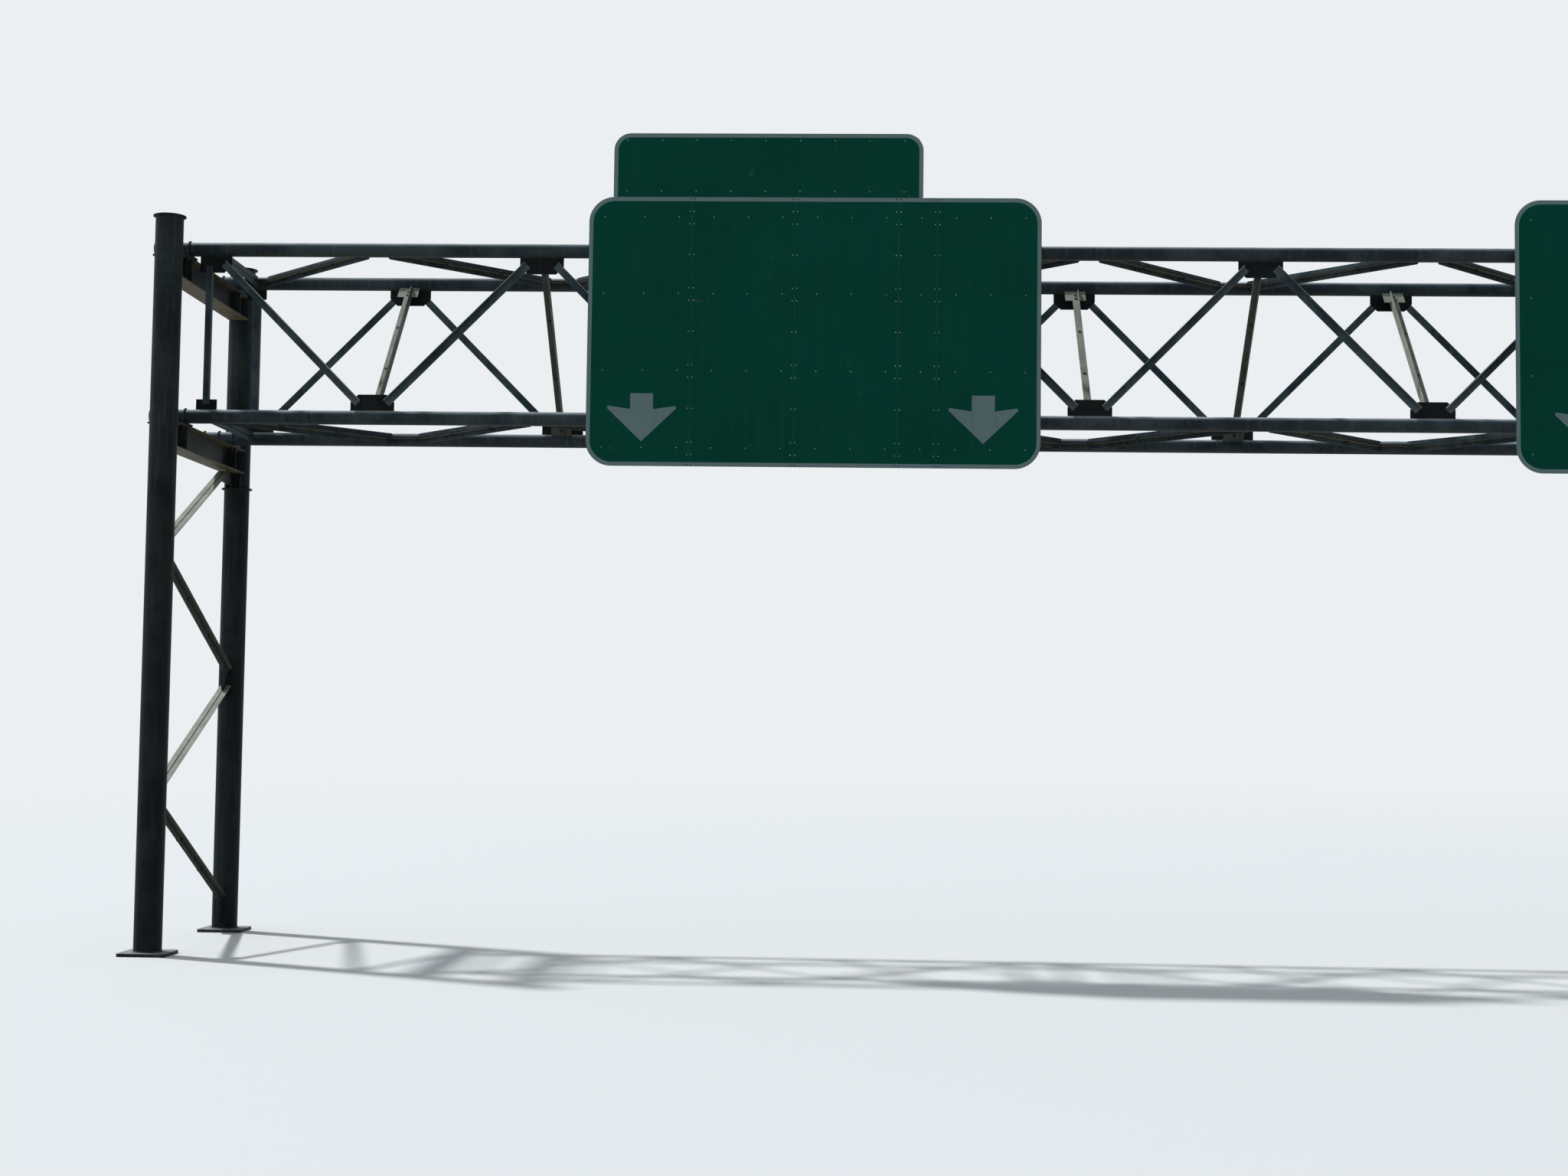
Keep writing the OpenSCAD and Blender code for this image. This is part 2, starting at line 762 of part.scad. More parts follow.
// A hanger beam between two heights, with the holes for its U-bolts
module hanger(x, low, high) {
    difference() {
        translate([x, hanger_back_y, low])
            linear_extrude(high - low) {
                for (y = [-hanger_t, -hanger_depth])
                    translate([-hanger_width / 2, y])
                        square([hanger_width, hanger_t]);
                translate([-hanger_t / 2, -hanger_depth])
                    square([hanger_t, hanger_depth]);
            }
        for (level = [chord_level, top_level], side = [-1, 1], leg = [-1, 1])
            translate([x + side * hanger_rod_side, hanger_back_y + 1, level + leg * u_leg(hanger_rod)])
                rotate([90, 0, 0])
                    cylinder(h = hanger_t + 2, d = hanger_rod + hole_clearance);
    }
}

// The U-bolts that hold a sign's hangers to the front chords
module hanger_u_bolts(x) {
    for (place = hanger_places, level = [chord_level, top_level], side = [-1, 1])
        translate([x + place + side * hanger_rod_side, -side_y, level])
            rotate([-90, 0, 0])
                u_bolt(hanger_rod, plate_root + hanger_t + hanger_rod_tail);
}

// The hangers of a sign. Those behind the exit panel run up to its top
module sign_hangers(x, has_exit) {
    for (place = hanger_places) {
        behind_exit = has_exit && place > exit_inset && place < exit_inset + exit_w;
        high = behind_exit ? sign_top + exit_gap + exit_h - exit_rail_edge / 2 : sign_top - hanger_short;
        hanger(x + place, sign_low + hanger_short, high);
    }
}

module left_front_post() { color(steel_dark) post(-1, -1); }
module left_rear_post() { color(steel_dark) post(-1, 1); }
module right_front_post() { color(steel_dark) post(1, -1); }
module right_rear_post() { color(steel_dark) post(1, 1); }
module post_caps() { color(steel) cap_discs(); }
module left_base_plates() { color(steel) base_plate_pair(-1); }
module right_base_plates() { color(steel) base_plate_pair(1); }
module left_top_beam() { color(steel_dark) beam(-1, top_level); }
module left_bottom_beam() { color(steel_dark) beam(-1, chord_level); }
module right_top_beam() { color(steel_dark) beam(1, top_level); }
module right_bottom_beam() { color(steel_dark) beam(1, chord_level); }
module seat_brackets() { color(steel_dark) brackets(); }
module saddle_plates() { color(steel) saddles(); }
module chord_u_bolts() { color(steel_light) tower_u_bolts(); }
module brace_gussets() { color(steel) tower_gussets(); }
module left_tower_braces() { color(steel_light) tower_bracing(-1); }
module right_tower_braces() { color(steel_light) tower_bracing(1); }
module left_chords() { color(steel) end_chord_pipes(-1); }
module middle_chords() { color(steel) middle_chord_pipes(); }
module right_chords() { color(steel) end_chord_pipes(1); }
module splice_flanges() { color(steel) splice_rings(); }
module front_web() { color(steel) for (section = [-1, 0, 1]) web(section, -1); }
module rear_web() { color(steel) for (section = [-1, 0, 1]) web(section, 1); }
module top_lacing() { color(steel_light) for (section = [-1, 0, 1]) lacing(section, top_level); }
module bottom_lacing() { color(steel_light) for (section = [-1, 0, 1]) lacing(section, chord_level); }
module sway_bars() { color(steel_light) for (section = [-1, 0, 1]) section_sway(section); }
module left_end_frame() { color(steel) end_frame(-end_x, false); }
module right_end_frame() { color(steel) end_frame(end_x, false); }
module splice_frames() {
    color(steel)
        for (x = [-inner_end_x, -mid_panels * panel, mid_panels * panel, inner_end_x])
            end_frame(x, true);
}
module web_gussets() { color(steel_dark) for (section = [-1, 0, 1]) section_web_gussets(section); }
module lacing_plates() { color(steel_dark) for (section = [-1, 0, 1]) section_lacing_plates(section); }
module sway_plates() { color(steel_light) for (section = [-1, 0, 1]) section_sway_plates(section); }
module left_sign_sheets() { color(sign_green) sign_sheets(left_sign_x); }
module exit_panel() { color(sign_green) exit_sheet(); }
module left_sign_rails() {
    color(alloy) {
        sign_rails(left_sign_x);
        exit_rails();
    }
}
module left_sign_hangers() { color(steel) sign_hangers(left_sign_x, true); }
module right_sign_sheets() { color(sign_green) sign_sheets(right_sign_x); }
module right_sign_rails() { color(alloy) sign_rails(right_sign_x); }
module right_sign_hangers() { color(steel) sign_hangers(right_sign_x, false); }
module hanger_bolts() {
    color(steel_light) {
        hanger_u_bolts(left_sign_x);
        hanger_u_bolts(right_sign_x);
    }
}

left_front_post();
left_rear_post();
right_front_post();
right_rear_post();
post_caps();
left_base_plates();
right_base_plates();
left_top_beam();
left_bottom_beam();
right_top_beam();
right_bottom_beam();
seat_brackets();
saddle_plates();
chord_u_bolts();
brace_gussets();
left_tower_braces();
right_tower_braces();
left_chords();
middle_chords();
right_chords();
splice_flanges();
front_web();
rear_web();
top_lacing();
bottom_lacing();
sway_bars();
left_end_frame();
right_end_frame();
splice_frames();
web_gussets();
lacing_plates();
sway_plates();
left_sign_sheets();
exit_panel();
left_sign_rails();
left_sign_hangers();
right_sign_sheets();
right_sign_rails();
right_sign_hangers();
hanger_bolts();
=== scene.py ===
import math
import random

import bmesh
import bpy
from mathutils import Matrix, Vector


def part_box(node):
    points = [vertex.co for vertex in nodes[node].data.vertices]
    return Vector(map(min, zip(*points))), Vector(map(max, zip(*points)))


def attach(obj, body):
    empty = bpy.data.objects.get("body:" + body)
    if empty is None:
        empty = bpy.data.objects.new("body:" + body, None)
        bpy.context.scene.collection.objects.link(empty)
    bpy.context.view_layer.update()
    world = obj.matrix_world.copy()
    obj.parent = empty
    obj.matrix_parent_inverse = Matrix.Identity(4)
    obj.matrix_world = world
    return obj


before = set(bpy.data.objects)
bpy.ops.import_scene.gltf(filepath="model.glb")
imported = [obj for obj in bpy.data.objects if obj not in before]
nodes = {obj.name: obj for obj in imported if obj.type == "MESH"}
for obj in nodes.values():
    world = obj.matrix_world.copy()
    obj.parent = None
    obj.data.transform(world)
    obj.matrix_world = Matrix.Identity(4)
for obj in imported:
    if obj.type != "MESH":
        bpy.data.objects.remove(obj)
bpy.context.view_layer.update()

# The photograph's frame and the camera that took it
IMAGE_W = 2048
FOCAL_PX = 2870
SENSOR_W = 36.0
CAMERA_PLACE = Vector((-4.616, -26.896, 2.726))
CAMERA_YAW = -0.0377
CAMERA_PITCH = 0.0632
CAMERA_ROLL = 0.0128

# Sizes of the CAD that the boxes of its pieces don't tell, in metres
SEAT = 0.0003
CHORD_R = 0.084
PANEL = 2.005
SPLICE_PANEL = 0.52
MID_PANELS = 3
END_PANELS = 3
FLANGE_OD = 0.29
FLANGE_T = 0.025
FLANGE_BOLTS = 8
GUSSET_T = 0.012
PLATE_T = 0.010
GUSSET_HALF = 0.263
GUSSET_SHORT = 0.12
CORNER_HALF = 0.125
PLATE_HALF = 0.130
PAIR_T = 0.0065
WEB_LEG = 0.089
WEB_OUTSTAND = 0.064
WEB_BACK = 0.245
GUSSET_EDGE = 0.319
LACING_BACKS = (0.195, 0.195)
SWAY_BACKS = (0.112, 0.112)
BEAM_DEPTH = 0.306
BEAM_FLANGE_T = 0.0146
BEAM_WIDTH = 0.254
BEAM_WEB_T = 0.009
SADDLE_T = 0.020
U_ROD = 0.019
U_NEAR = 0.095
U_FAR = 0.285
HANGER_ROD = 0.016
HANGER_ROD_SIDE = 0.028
HANGER_T = 0.006
HANGER_SPOTS = (0.700, 2.667, 4.634)
BRACES = 4
BRACE_RISE = 1.459
BRACE_FOOT = 0.33
BRACE_BACK = 0.225
BRACE_BACK_TOP = 0.58
BRACE_T = 0.008
TOWER_PLATE_T = 0.012
TOWER_PLATE_H = 0.42
BRACKET_DEPTH = 0.200
BRACKET_T = 0.016
SHEET_WIDTHS = (1.219, 1.219, 1.219, 0.457, 1.220)
SHEET_SEAM = 0.001
SIGN_CORNER = 0.305
EXIT_CORNER = 0.203
RAIL_EDGE = 0.229
RAIL_COUNT = 4
RAIL_T = 0.005
RAIL_FLANGE = 0.045
EXIT_RAIL_EDGE = 0.076

# Places worked out from the boxes of the CAD's pieces
chord_low, chord_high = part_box("middle_chords")
SIDE_Y = chord_high.y - CHORD_R
LOW = chord_low.z + CHORD_R
TOP = chord_high.z - CHORD_R
SPLICE_X = chord_high.x + SEAT
post_low, post_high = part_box("right_rear_post")
TOWER_X = (post_low.x + post_high.x) / 2
POST_Y = (post_low.y + post_high.y) / 2
POST_R = (post_high.x - post_low.x) / 2
BASE_T = post_low.z
CAP_LOW = post_high.z
INNER_END_X = SPLICE_X + SPLICE_PANEL / 2
END_X = INNER_END_X + END_PANELS * PANEL
PLATE_ROOT = CHORD_R + SEAT
BEAM_DROP = CHORD_R + SADDLE_T
sheets_low, sheets_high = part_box("left_sign_sheets")
exit_low, exit_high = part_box("exit_panel")
SIGN_FACE_Y = sheets_low.y
SHEET_BACK_Y = sheets_high.y
SIGN_LOW = sheets_low.z
SIGN_TOP = sheets_high.z
LEFT_SIGN_X = sheets_low.x - SHEET_SEAM / 2
RIGHT_SIGN_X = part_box("right_sign_sheets")[0].x - SHEET_SEAM / 2
SIGN_W = sum(SHEET_WIDTHS)
SIGNS_END_X = RIGHT_SIGN_X + SIGN_W
HANGER_BACK_Y = -SIDE_Y - PLATE_ROOT
HANGER_FACE_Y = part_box("left_sign_hangers")[0].y
HANGERS_X = [sign_x + x for sign_x in (LEFT_SIGN_X, RIGHT_SIGN_X) for x in HANGER_SPOTS]
CHORD_SPOTS = [(end, side, level) for end in (-1, 1) for side in (-1, 1) for level in (LOW, TOP)]

# Marks on the zinc: where they and the painted toe highlight lie, and the tint of the soot
WEB_TOE_Y = SIDE_Y + GUSSET_T / 2 + WEB_OUTSTAND
TOUCH_UP_REACH = 0.32
TOUCH_UP_FRAY = 0.10
SOOT_TOP = LOW + 0.6
SOOT_FRAY = 1.2
SOOT_TINT = (0.50, 0.53, 0.52, 1)

random.seed(7)


class Wires:
    """Adds nodes to a tree and joins them. An input is given as a plain value or as another node's socket."""

    def __init__(self, tree):
        self.tree = tree

    def add(self, kind, inputs=None, **settings):
        node = self.tree.nodes.new(kind)
        for key, value in settings.items():
            setattr(node, key, value)
        for key, value in (inputs or {}).items():
            self.feed(node.inputs[key], value)
        return node

    def feed(self, socket, value):
        if isinstance(value, bpy.types.NodeSocket):
            self.tree.links.new(value, socket)
        else:
            socket.default_value = value

    def place(self):
        return self.add("ShaderNodeTexCoord").outputs["Object"]

    def normal(self):
        return self.axes(self.add("ShaderNodeNewGeometry").outputs["Normal"])

    def axes(self, vector):
        return self.add("ShaderNodeSeparateXYZ", {0: vector}).outputs

    def math(self, operation, first, second=0.0, third=0.0, clamp=False):
        sockets = {0: first, 1: second, 2: third}
        return self.add("ShaderNodeMath", sockets, operation=operation, use_clamp=clamp).outputs[0]

    def times(self, first, second):
        return self.math("MULTIPLY", first, second)

    def scaled(self, vector, factors):
        return self.add("ShaderNodeVectorMath", {0: vector, 1: factors}, operation="MULTIPLY").outputs[0]

    def noise(self, vector, scale, detail=3.0, roughness=0.55):
        sockets = {"Vector": vector, "Scale": scale, "Detail": detail, "Roughness": roughness}
        return self.add("ShaderNodeTexNoise", sockets).outputs["Fac"]

    def spread(self, value, low, high, new_low=0.0, new_high=1.0):
        sockets = {"Value": value, "From Min": low, "From Max": high, "To Min": new_low, "To Max": new_high}
        return self.add("ShaderNodeMapRange", sockets, clamp=True).outputs[0]

    def blend(self, factor, first, second, mode="MIX"):
        node = self.add("ShaderNodeMix", data_type="RGBA", blend_type=mode)
        for index, value in ((0, factor), (6, first), (7, second)):
            self.feed(node.inputs[index], value)
        return node.outputs[2]

    def lay(self, tone, coat, mask, amount):
        """The tone with a coat over it, as thick as the mask times the amount."""
        return self.blend(self.times(mask, amount), tone, coat)

    def moved(self, mesh, height):
        """A mesh moved up."""
        shift = self.add("ShaderNodeCombineXYZ", {"Z": height}).outputs[0]
        return self.add("GeometryNodeTransform", {"Geometry": mesh, "Translation": shift}).outputs[0]


def new_group(name, kind, inputs, outputs):
    """A node group with the named sockets: its wires, its input sockets by name, and its output node."""
    group = bpy.data.node_groups.new(name, kind)
    for label, socket_type, value in inputs:
        socket = group.interface.new_socket(name=label, in_out="INPUT", socket_type=socket_type)
        if value is not None:
            socket.default_value = value
    for label, socket_type in outputs:
        group.interface.new_socket(name=label, in_out="OUTPUT", socket_type=socket_type)
    wires = Wires(group)
    entry = wires.add("NodeGroupInput")
    given = {socket.name: socket for socket in entry.outputs if socket.name}
    return wires, given, wires.add("NodeGroupOutput")


def new_tree(name, *inputs):
    """A Geometry Nodes tree that takes a geometry, the named inputs and a material, and gives a geometry."""
    sockets = [("Geometry", GEOMETRY, None), *inputs, ("Material", MATERIAL, None)]
    return new_group(name, "GeometryNodeTree", sockets, [("Geometry", GEOMETRY)])


NUMBER = "NodeSocketFloat"
COLOR = "NodeSocketColor"
GEOMETRY = "NodeSocketGeometry"
MATERIAL = "NodeSocketMaterial"


def color(red, green, blue):
    """A colour written as a screen shows it, from 0 to 255, made linear."""
    def linear(value):
        share = value / 255
        return share / 12.92 if share <= 0.04045 else ((share + 0.055) / 1.055) ** 2.4
    return (linear(red), linear(green), linear(blue), 1.0)


# Shader groups that the materials share

def make_zinc_group():
    """Weathered hot-dip zinc: patina clouds, dull spangle, run-down streaks, pale tops that also paint
    sunlight, and undersides tinted with grime and painted ground bounce.

    Lean turns the pale side with painted sunlight from the top towards the left.
    """
    wires, given, out = new_group("weathered zinc", "ShaderNodeTree", [
        ("Zinc", COLOR, color(40, 47, 51)),
        ("Pale", COLOR, color(150, 154, 154)),
        ("Dirt And Bounce Tint", COLOR, color(58, 54, 46)),
        ("Patina Scale", NUMBER, 2.0),
        ("Spangle", NUMBER, 0.10),
        ("Streaks", NUMBER, 0.3),
        ("Salt", NUMBER, 0.25),
        ("Wash", NUMBER, 0.30),
        ("Top Bleach And Sunlight", NUMBER, 0.7),
        ("Bleach And Sunlight Start", NUMBER, 0.5),
        ("Sunlit Side Lean", NUMBER, 0.0),
        ("Underside Dirt And Bounce", NUMBER, 0.6),
    ], [("Color", COLOR), ("Roughness", NUMBER), ("Height", NUMBER)])
    place = wires.place()
    normal = wires.normal()
    up = wires.math("MULTIPLY_ADD", wires.times(normal["X"], -1.0), given["Sunlit Side Lean"], normal["Z"])

    clouds = wires.noise(place, given["Patina Scale"], 6.0, 0.62)
    dark_zinc = wires.blend(1.0, given["Zinc"], (0.55, 0.58, 0.61, 1), "MULTIPLY")
    light_zinc = wires.lay(given["Zinc"], given["Pale"], given["Wash"], 0.23)
    washed_zinc = wires.blend(given["Wash"], given["Zinc"], given["Pale"])
    tone = wires.blend(wires.spread(clouds, 0.41, 0.61), dark_zinc, light_zinc)

    crystals = wires.add("ShaderNodeTexVoronoi", {"Vector": place, "Scale": 38.0})
    crystal = wires.add("ShaderNodeSeparateColor", {0: crystals.outputs["Color"]}).outputs[0]
    shimmer = wires.math("MULTIPLY_ADD", wires.math("SUBTRACT", crystal, 0.5), given["Spangle"], 1.0)
    tone = wires.scaled(tone, shimmer)

    runs = wires.noise(wires.scaled(place, (9.0, 9.0, 0.55)), 2.2, 4.0)
    tone = wires.lay(tone, washed_zinc, wires.spread(runs, 0.54, 0.74), given["Streaks"])
    drips = wires.noise(wires.scaled(place, (13.0, 13.0, 0.8)), 1.7, 3.0)
    tone = wires.lay(tone, given["Dirt And Bounce Tint"], wires.spread(drips, 0.52, 0.7), given["Streaks"])
    grit = wires.noise(place, 120.0, 2.0)
    tone = wires.lay(tone, washed_zinc, wires.spread(grit, 0.62, 0.74), given["Salt"])

    # Painted sunlight: the top faces, or with lean the left faces, turn pale, over a real pale patina.
    patches = wires.noise(place, 3.4, 5.0, 0.65)
    top = wires.spread(up, given["Bleach And Sunlight Start"], 0.95)
    bleach_and_sunlight = wires.times(wires.times(top, wires.spread(patches, 0.3, 0.62, 0.55, 1.0)), given["Top Bleach And Sunlight"])
    tone = wires.blend(bleach_and_sunlight, tone, given["Pale"])
    # Underside tint: some grime, and painted light bounced up from the ground.
    under = wires.times(wires.spread(up, -0.25, -0.95), wires.spread(patches, 0.3, 0.6, 0.35, 1.0))
    tone = wires.lay(tone, given["Dirt And Bounce Tint"], under, given["Underside Dirt And Bounce"])

    roughness = wires.spread(clouds, 0.3, 0.7, 0.46, 0.68)
    wires.feed(out.inputs["Color"], tone)
    wires.feed(out.inputs["Roughness"], wires.math("MULTIPLY_ADD", bleach_and_sunlight, 0.2, roughness, clamp=True))
    wires.feed(out.inputs["Height"], wires.math("MULTIPLY_ADD", crystal, 0.25, wires.times(grit, 0.8)))
    return wires.tree


def make_rain_group():
    """Masks of the road dust on an upright face: faint streaks, clouds and specks."""
    wires, _, out = new_group("rain and dust", "ShaderNodeTree", [],
                              [("Streak", NUMBER), ("Cloud", NUMBER), ("Speck", NUMBER)])
    place = wires.place()
    streak = wires.noise(wires.scaled(place, (16.0, 1.0, 0.35)), 1.6, 5.0, 0.6)
    wires.feed(out.inputs["Streak"], wires.spread(streak, 0.5, 0.78))
    wires.feed(out.inputs["Cloud"], wires.spread(wires.noise(place, 0.9, 5.0, 0.6), 0.35, 0.68))
    wires.feed(out.inputs["Speck"], wires.spread(wires.noise(place, 46.0, 2.0, 0.5), 0.7, 0.8))
    return wires.tree


ZINC_GROUP = make_zinc_group()
RAIN_GROUP = make_rain_group()


# Materials

def new_material(name):
    material = bpy.data.materials.new(name)
    material.use_nodes = True
    return material, Wires(material.node_tree), material.node_tree.nodes["Principled BSDF"]


def dress(wires, shader, tone, roughness, height, strength, distance):
    """Gives a shader its colour and roughness, and a relief of that strength and depth."""
    relief = wires.add("ShaderNodeBump", {"Height": height, "Strength": strength, "Distance": distance})
    wires.feed(shader.inputs["Base Color"], tone)
    wires.feed(shader.inputs["Roughness"], roughness)
    wires.feed(shader.inputs["Normal"], relief.outputs[0])


def zinc_material(name, bump, values, marks=None, metallic=0.0):
    """One of the zinc finishes: the shared group with its own values, and marks on top of it.

    An old coat has little gloss. marks is a function from the wires and the tone to the new tone.
    """
    material, wires, shader = new_material(name)
    zinc = wires.add("ShaderNodeGroup", values, node_tree=ZINC_GROUP).outputs
    tone = marks(wires, zinc["Color"]) if marks else zinc["Color"]
    dress(wires, shader, tone, zinc["Roughness"], zinc["Height"], bump, 0.002)
    shader.inputs["Metallic"].default_value = metallic
    shader.inputs["Specular IOR Level"].default_value = 0.08
    return material


def road_soot(wires, tone):
    """Soot that darkens the posts up to the height of the bottom beams."""
    place = wires.place()
    edge = wires.math("MULTIPLY_ADD", wires.noise(place, 1.1, 4.0), SOOT_FRAY, wires.axes(place)["Z"])
    soot = wires.spread(edge, SOOT_TOP - SOOT_FRAY, SOOT_TOP + SOOT_FRAY, 0.9, 0.0)
    return wires.blend(soot, tone, wires.blend(1.0, tone, SOOT_TINT, "MULTIPLY"))


def touch_ups_and_toe_highlight(wires, tone):
    """The touched-up ends of the web angles by their gussets, and a painted highlight on their toes."""
    place = wires.place()
    axes = wires.axes(place)
    middle_gap = wires.math("ABSOLUTE", wires.math("SUBTRACT", axes["Z"], (LOW + TOP) / 2))
    brush = wires.math("MULTIPLY_ADD", wires.noise(place, 7.0, 3.0), TOUCH_UP_FRAY, middle_gap)
    end_start = (TOP - LOW) / 2 - TOUCH_UP_REACH + TOUCH_UP_FRAY / 2
    ends = wires.spread(brush, end_start, end_start + TOUCH_UP_FRAY, 0.0, 0.75)
    tone = wires.blend(ends, tone, color(84, 97, 104))
    # Painted highlight: the toes of the outstanding legs turn pale where the sun would catch them.
    toe = wires.spread(wires.math("ABSOLUTE", axes["Y"]), WEB_TOE_Y - 0.002, WEB_TOE_Y - 0.001)
    toe_highlight = wires.spread(wires.noise(place, 1.9, 4.0), 0.36, 0.6, 0.15, 0.95)
    return wires.lay(tone, ANGLE_VALUES["Pale"], toe, toe_highlight)


def rain_masks(wires):
    return wires.add("ShaderNodeGroup", node_tree=RAIN_GROUP).outputs


def film_cells(wires, place):
    """The height of the small cells that make a film reflect."""
    sockets = {"Vector": place, "Scale": 240.0}
    return wires.add("ShaderNodeTexVoronoi", sockets, feature="DISTANCE_TO_EDGE").outputs[0]


def sheet_edges(sign_x):
    """The sign's left edge, the seams between its sheets, and its right edge."""
    return [sign_x + sum(SHEET_WIDTHS[:count]) for count in range(len(SHEET_WIDTHS) + 1)]


def batch_shade(wires, place):
    """A shade from 0 to 1 that steps from sheet to sheet, because the film came in batches."""
    share = wires.spread(wires.axes(place)["X"], LEFT_SIGN_X, SIGNS_END_X)
    batch = wires.add("ShaderNodeValToRGB", {0: share})
    ramp = batch.color_ramp
    ramp.interpolation = "CONSTANT"
    ramp.elements.remove(ramp.elements[1])
    edges = sheet_edges(LEFT_SIGN_X)[:-1] + sheet_edges(RIGHT_SIGN_X)[:-1]
    for index, (edge, level) in enumerate(zip(edges, BATCH_LEVELS)):
        start = (edge - LEFT_SIGN_X) / (SIGNS_END_X - LEFT_SIGN_X)
        stop = ramp.elements[0] if index == 0 else ramp.elements.new(start)
        stop.color = (level, level, level, 1)
    return batch.outputs[0]


def sheet_material():
    """Green reflective film on the front of the sheets, bare milled aluminium on their backs and edges."""
    material, wires, shader = new_material("green film sheet")
    place = wires.place()
    front = wires.spread(wires.normal()["Y"], -0.5, -0.9)
    rain = rain_masks(wires)

    green = wires.blend(batch_shade(wires, place), color(0, 62, 52), color(0, 74, 62))
    green = wires.lay(green, color(4, 80, 68), rain["Cloud"], 0.45)
    green = wires.lay(green, color(70, 96, 86), rain["Streak"], 0.08)
    green = wires.lay(green, color(84, 110, 100), rain["Speck"], 0.16)
    smudge = wires.spread(wires.noise(place, 4.6, 4.0, 0.6), 0.68, 0.78, 0.0, 0.22)
    green = wires.blend(smudge, green, color(92, 122, 112))
    milled = wires.noise(wires.scaled(place, (240.0, 240.0, 3.0)), 1.0, 2.0)
    alloy = wires.blend(milled, color(134, 139, 142), color(166, 170, 172))
    alloy = wires.lay(alloy, color(112, 115, 114), rain["Cloud"], 0.4)
    alloy = wires.lay(alloy, color(96, 97, 93), rain["Streak"], 0.5)

    ripple = wires.times(wires.noise(place, 2.6, 2.0), 2.0)
    height = wires.math("MULTIPLY_ADD", film_cells(wires, place), 0.5, ripple)
    roughness = wires.spread(rain["Cloud"], 0.0, 1.0, 0.36, 0.55)
    dress(wires, shader, wires.blend(front, alloy, green), roughness, height, 0.25, 0.003)
    wires.feed(shader.inputs["Metallic"], wires.spread(front, 0.0, 1.0, 0.55, 0.0))
    shader.inputs["Specular IOR Level"].default_value = 0.04
    return material


def film_material():
    """The reflective film of the borders and arrows: white film, in grey-blue tones that paint the shade it
    stands in.
    """
    material, wires, shader = new_material("white film in painted shade")
    rain = rain_masks(wires)
    # Grey-blue tones: painted shade on the white film.
    tone = wires.lay(color(102, 127, 136), color(112, 137, 143), rain["Cloud"], 0.5)
    tone = wires.lay(tone, color(86, 104, 106), rain["Streak"], 0.35)
    tone = wires.lay(tone, color(68, 80, 78), rain["Speck"], 0.4)
    roughness = wires.spread(rain["Cloud"], 0.0, 1.0, 0.34, 0.5)
    dress(wires, shader, tone, roughness, film_cells(wires, wires.place()), 0.25, 0.001)
    shader.inputs["Specular IOR Level"].default_value = 0.12
    return material


def alloy_material(name, grain, low, high):
    """Extruded or rolled aluminium, dulled by weather. grain stretches its fine lines along one axis."""
    material, wires, shader = new_material(name)
    place = wires.place()
    lines = wires.noise(wires.scaled(place, grain), 1.0, 2.0)
    clouds = wires.noise(place, 2.4, 5.0, 0.6)
    rain = rain_masks(wires)
    tone = wires.blend(wires.spread(lines, 0.3, 0.7), low, high)
    tone = wires.blend(wires.spread(clouds, 0.4, 0.72, 0.0, 0.55), tone, color(82, 85, 86))
    tone = wires.lay(tone, color(66, 66, 62), rain["Streak"], 0.4)
    dress(wires, shader, tone, wires.spread(clouds, 0.3, 0.7, 0.34, 0.6), lines, 0.3, 0.0005)
    shader.inputs["Metallic"].default_value = 0.55
    return material


BATCH_LEVELS = (0.50, 0.40, 0.58, 0.46, 0.54, 0.44, 0.60, 0.48, 0.56, 0.42)
# The pipes' pale, bluish tops paint sunlight and the sky's reflection, over a pale patina.
PIPE = zinc_material("pipe zinc", 0.35, {
    "Zinc": color(42, 57, 67), "Pale": color(154, 166, 171), "Patina Scale": 1.3, "Wash": 0.26,
    "Top Bleach And Sunlight": 0.95, "Underside Dirt And Bounce": 0.35})
POST = zinc_material("post zinc", 0.35, {
    "Zinc": color(33, 44, 49), "Dirt And Bounce Tint": color(36, 42, 44), "Patina Scale": 2.2, "Streaks": 0.5, "Salt": 0.2,
    "Wash": 0.18, "Underside Dirt And Bounce": 0.3}, road_soot)
# All zinc tones are darker than bare zinc, painting part of the shade on the steel; the plates' near-black
# zinc paints the deep shade of the plates and gussets.
SHADED_PLATE = zinc_material("plate zinc in painted shade", 0.45, {
    "Zinc": color(13, 20, 24), "Dirt And Bounce Tint": color(34, 31, 26), "Patina Scale": 2.6, "Salt": 0.2, "Wash": 0.09,
    "Top Bleach And Sunlight": 0.8})
# The light, warm underside tints of the beams, lacing and sloped angles paint the ground's bounced light,
# with some grime.
BEAM = zinc_material("beam zinc", 0.4, {
    "Zinc": color(36, 47, 53), "Dirt And Bounce Tint": color(96, 87, 63), "Patina Scale": 1.7, "Salt": 0.2, "Wash": 0.24,
    "Top Bleach And Sunlight": 0.8, "Underside Dirt And Bounce": 0.85})
ANGLE_VALUES = {
    "Zinc": color(54, 74, 86), "Pale": color(158, 165, 165), "Dirt And Bounce Tint": color(70, 64, 52), "Top Bleach And Sunlight": 0.95,
    "Bleach And Sunlight Start": 0.35}
ANGLE = zinc_material("angle zinc", 0.4, ANGLE_VALUES)
WEB_ANGLE = zinc_material("web angle zinc", 0.4, ANGLE_VALUES, touch_ups_and_toe_highlight)
LACING = zinc_material("lacing zinc", 0.4, {
    **ANGLE_VALUES, "Zinc": color(50, 68, 78), "Dirt And Bounce Tint": color(98, 88, 68), "Underside Dirt And Bounce": 0.75})
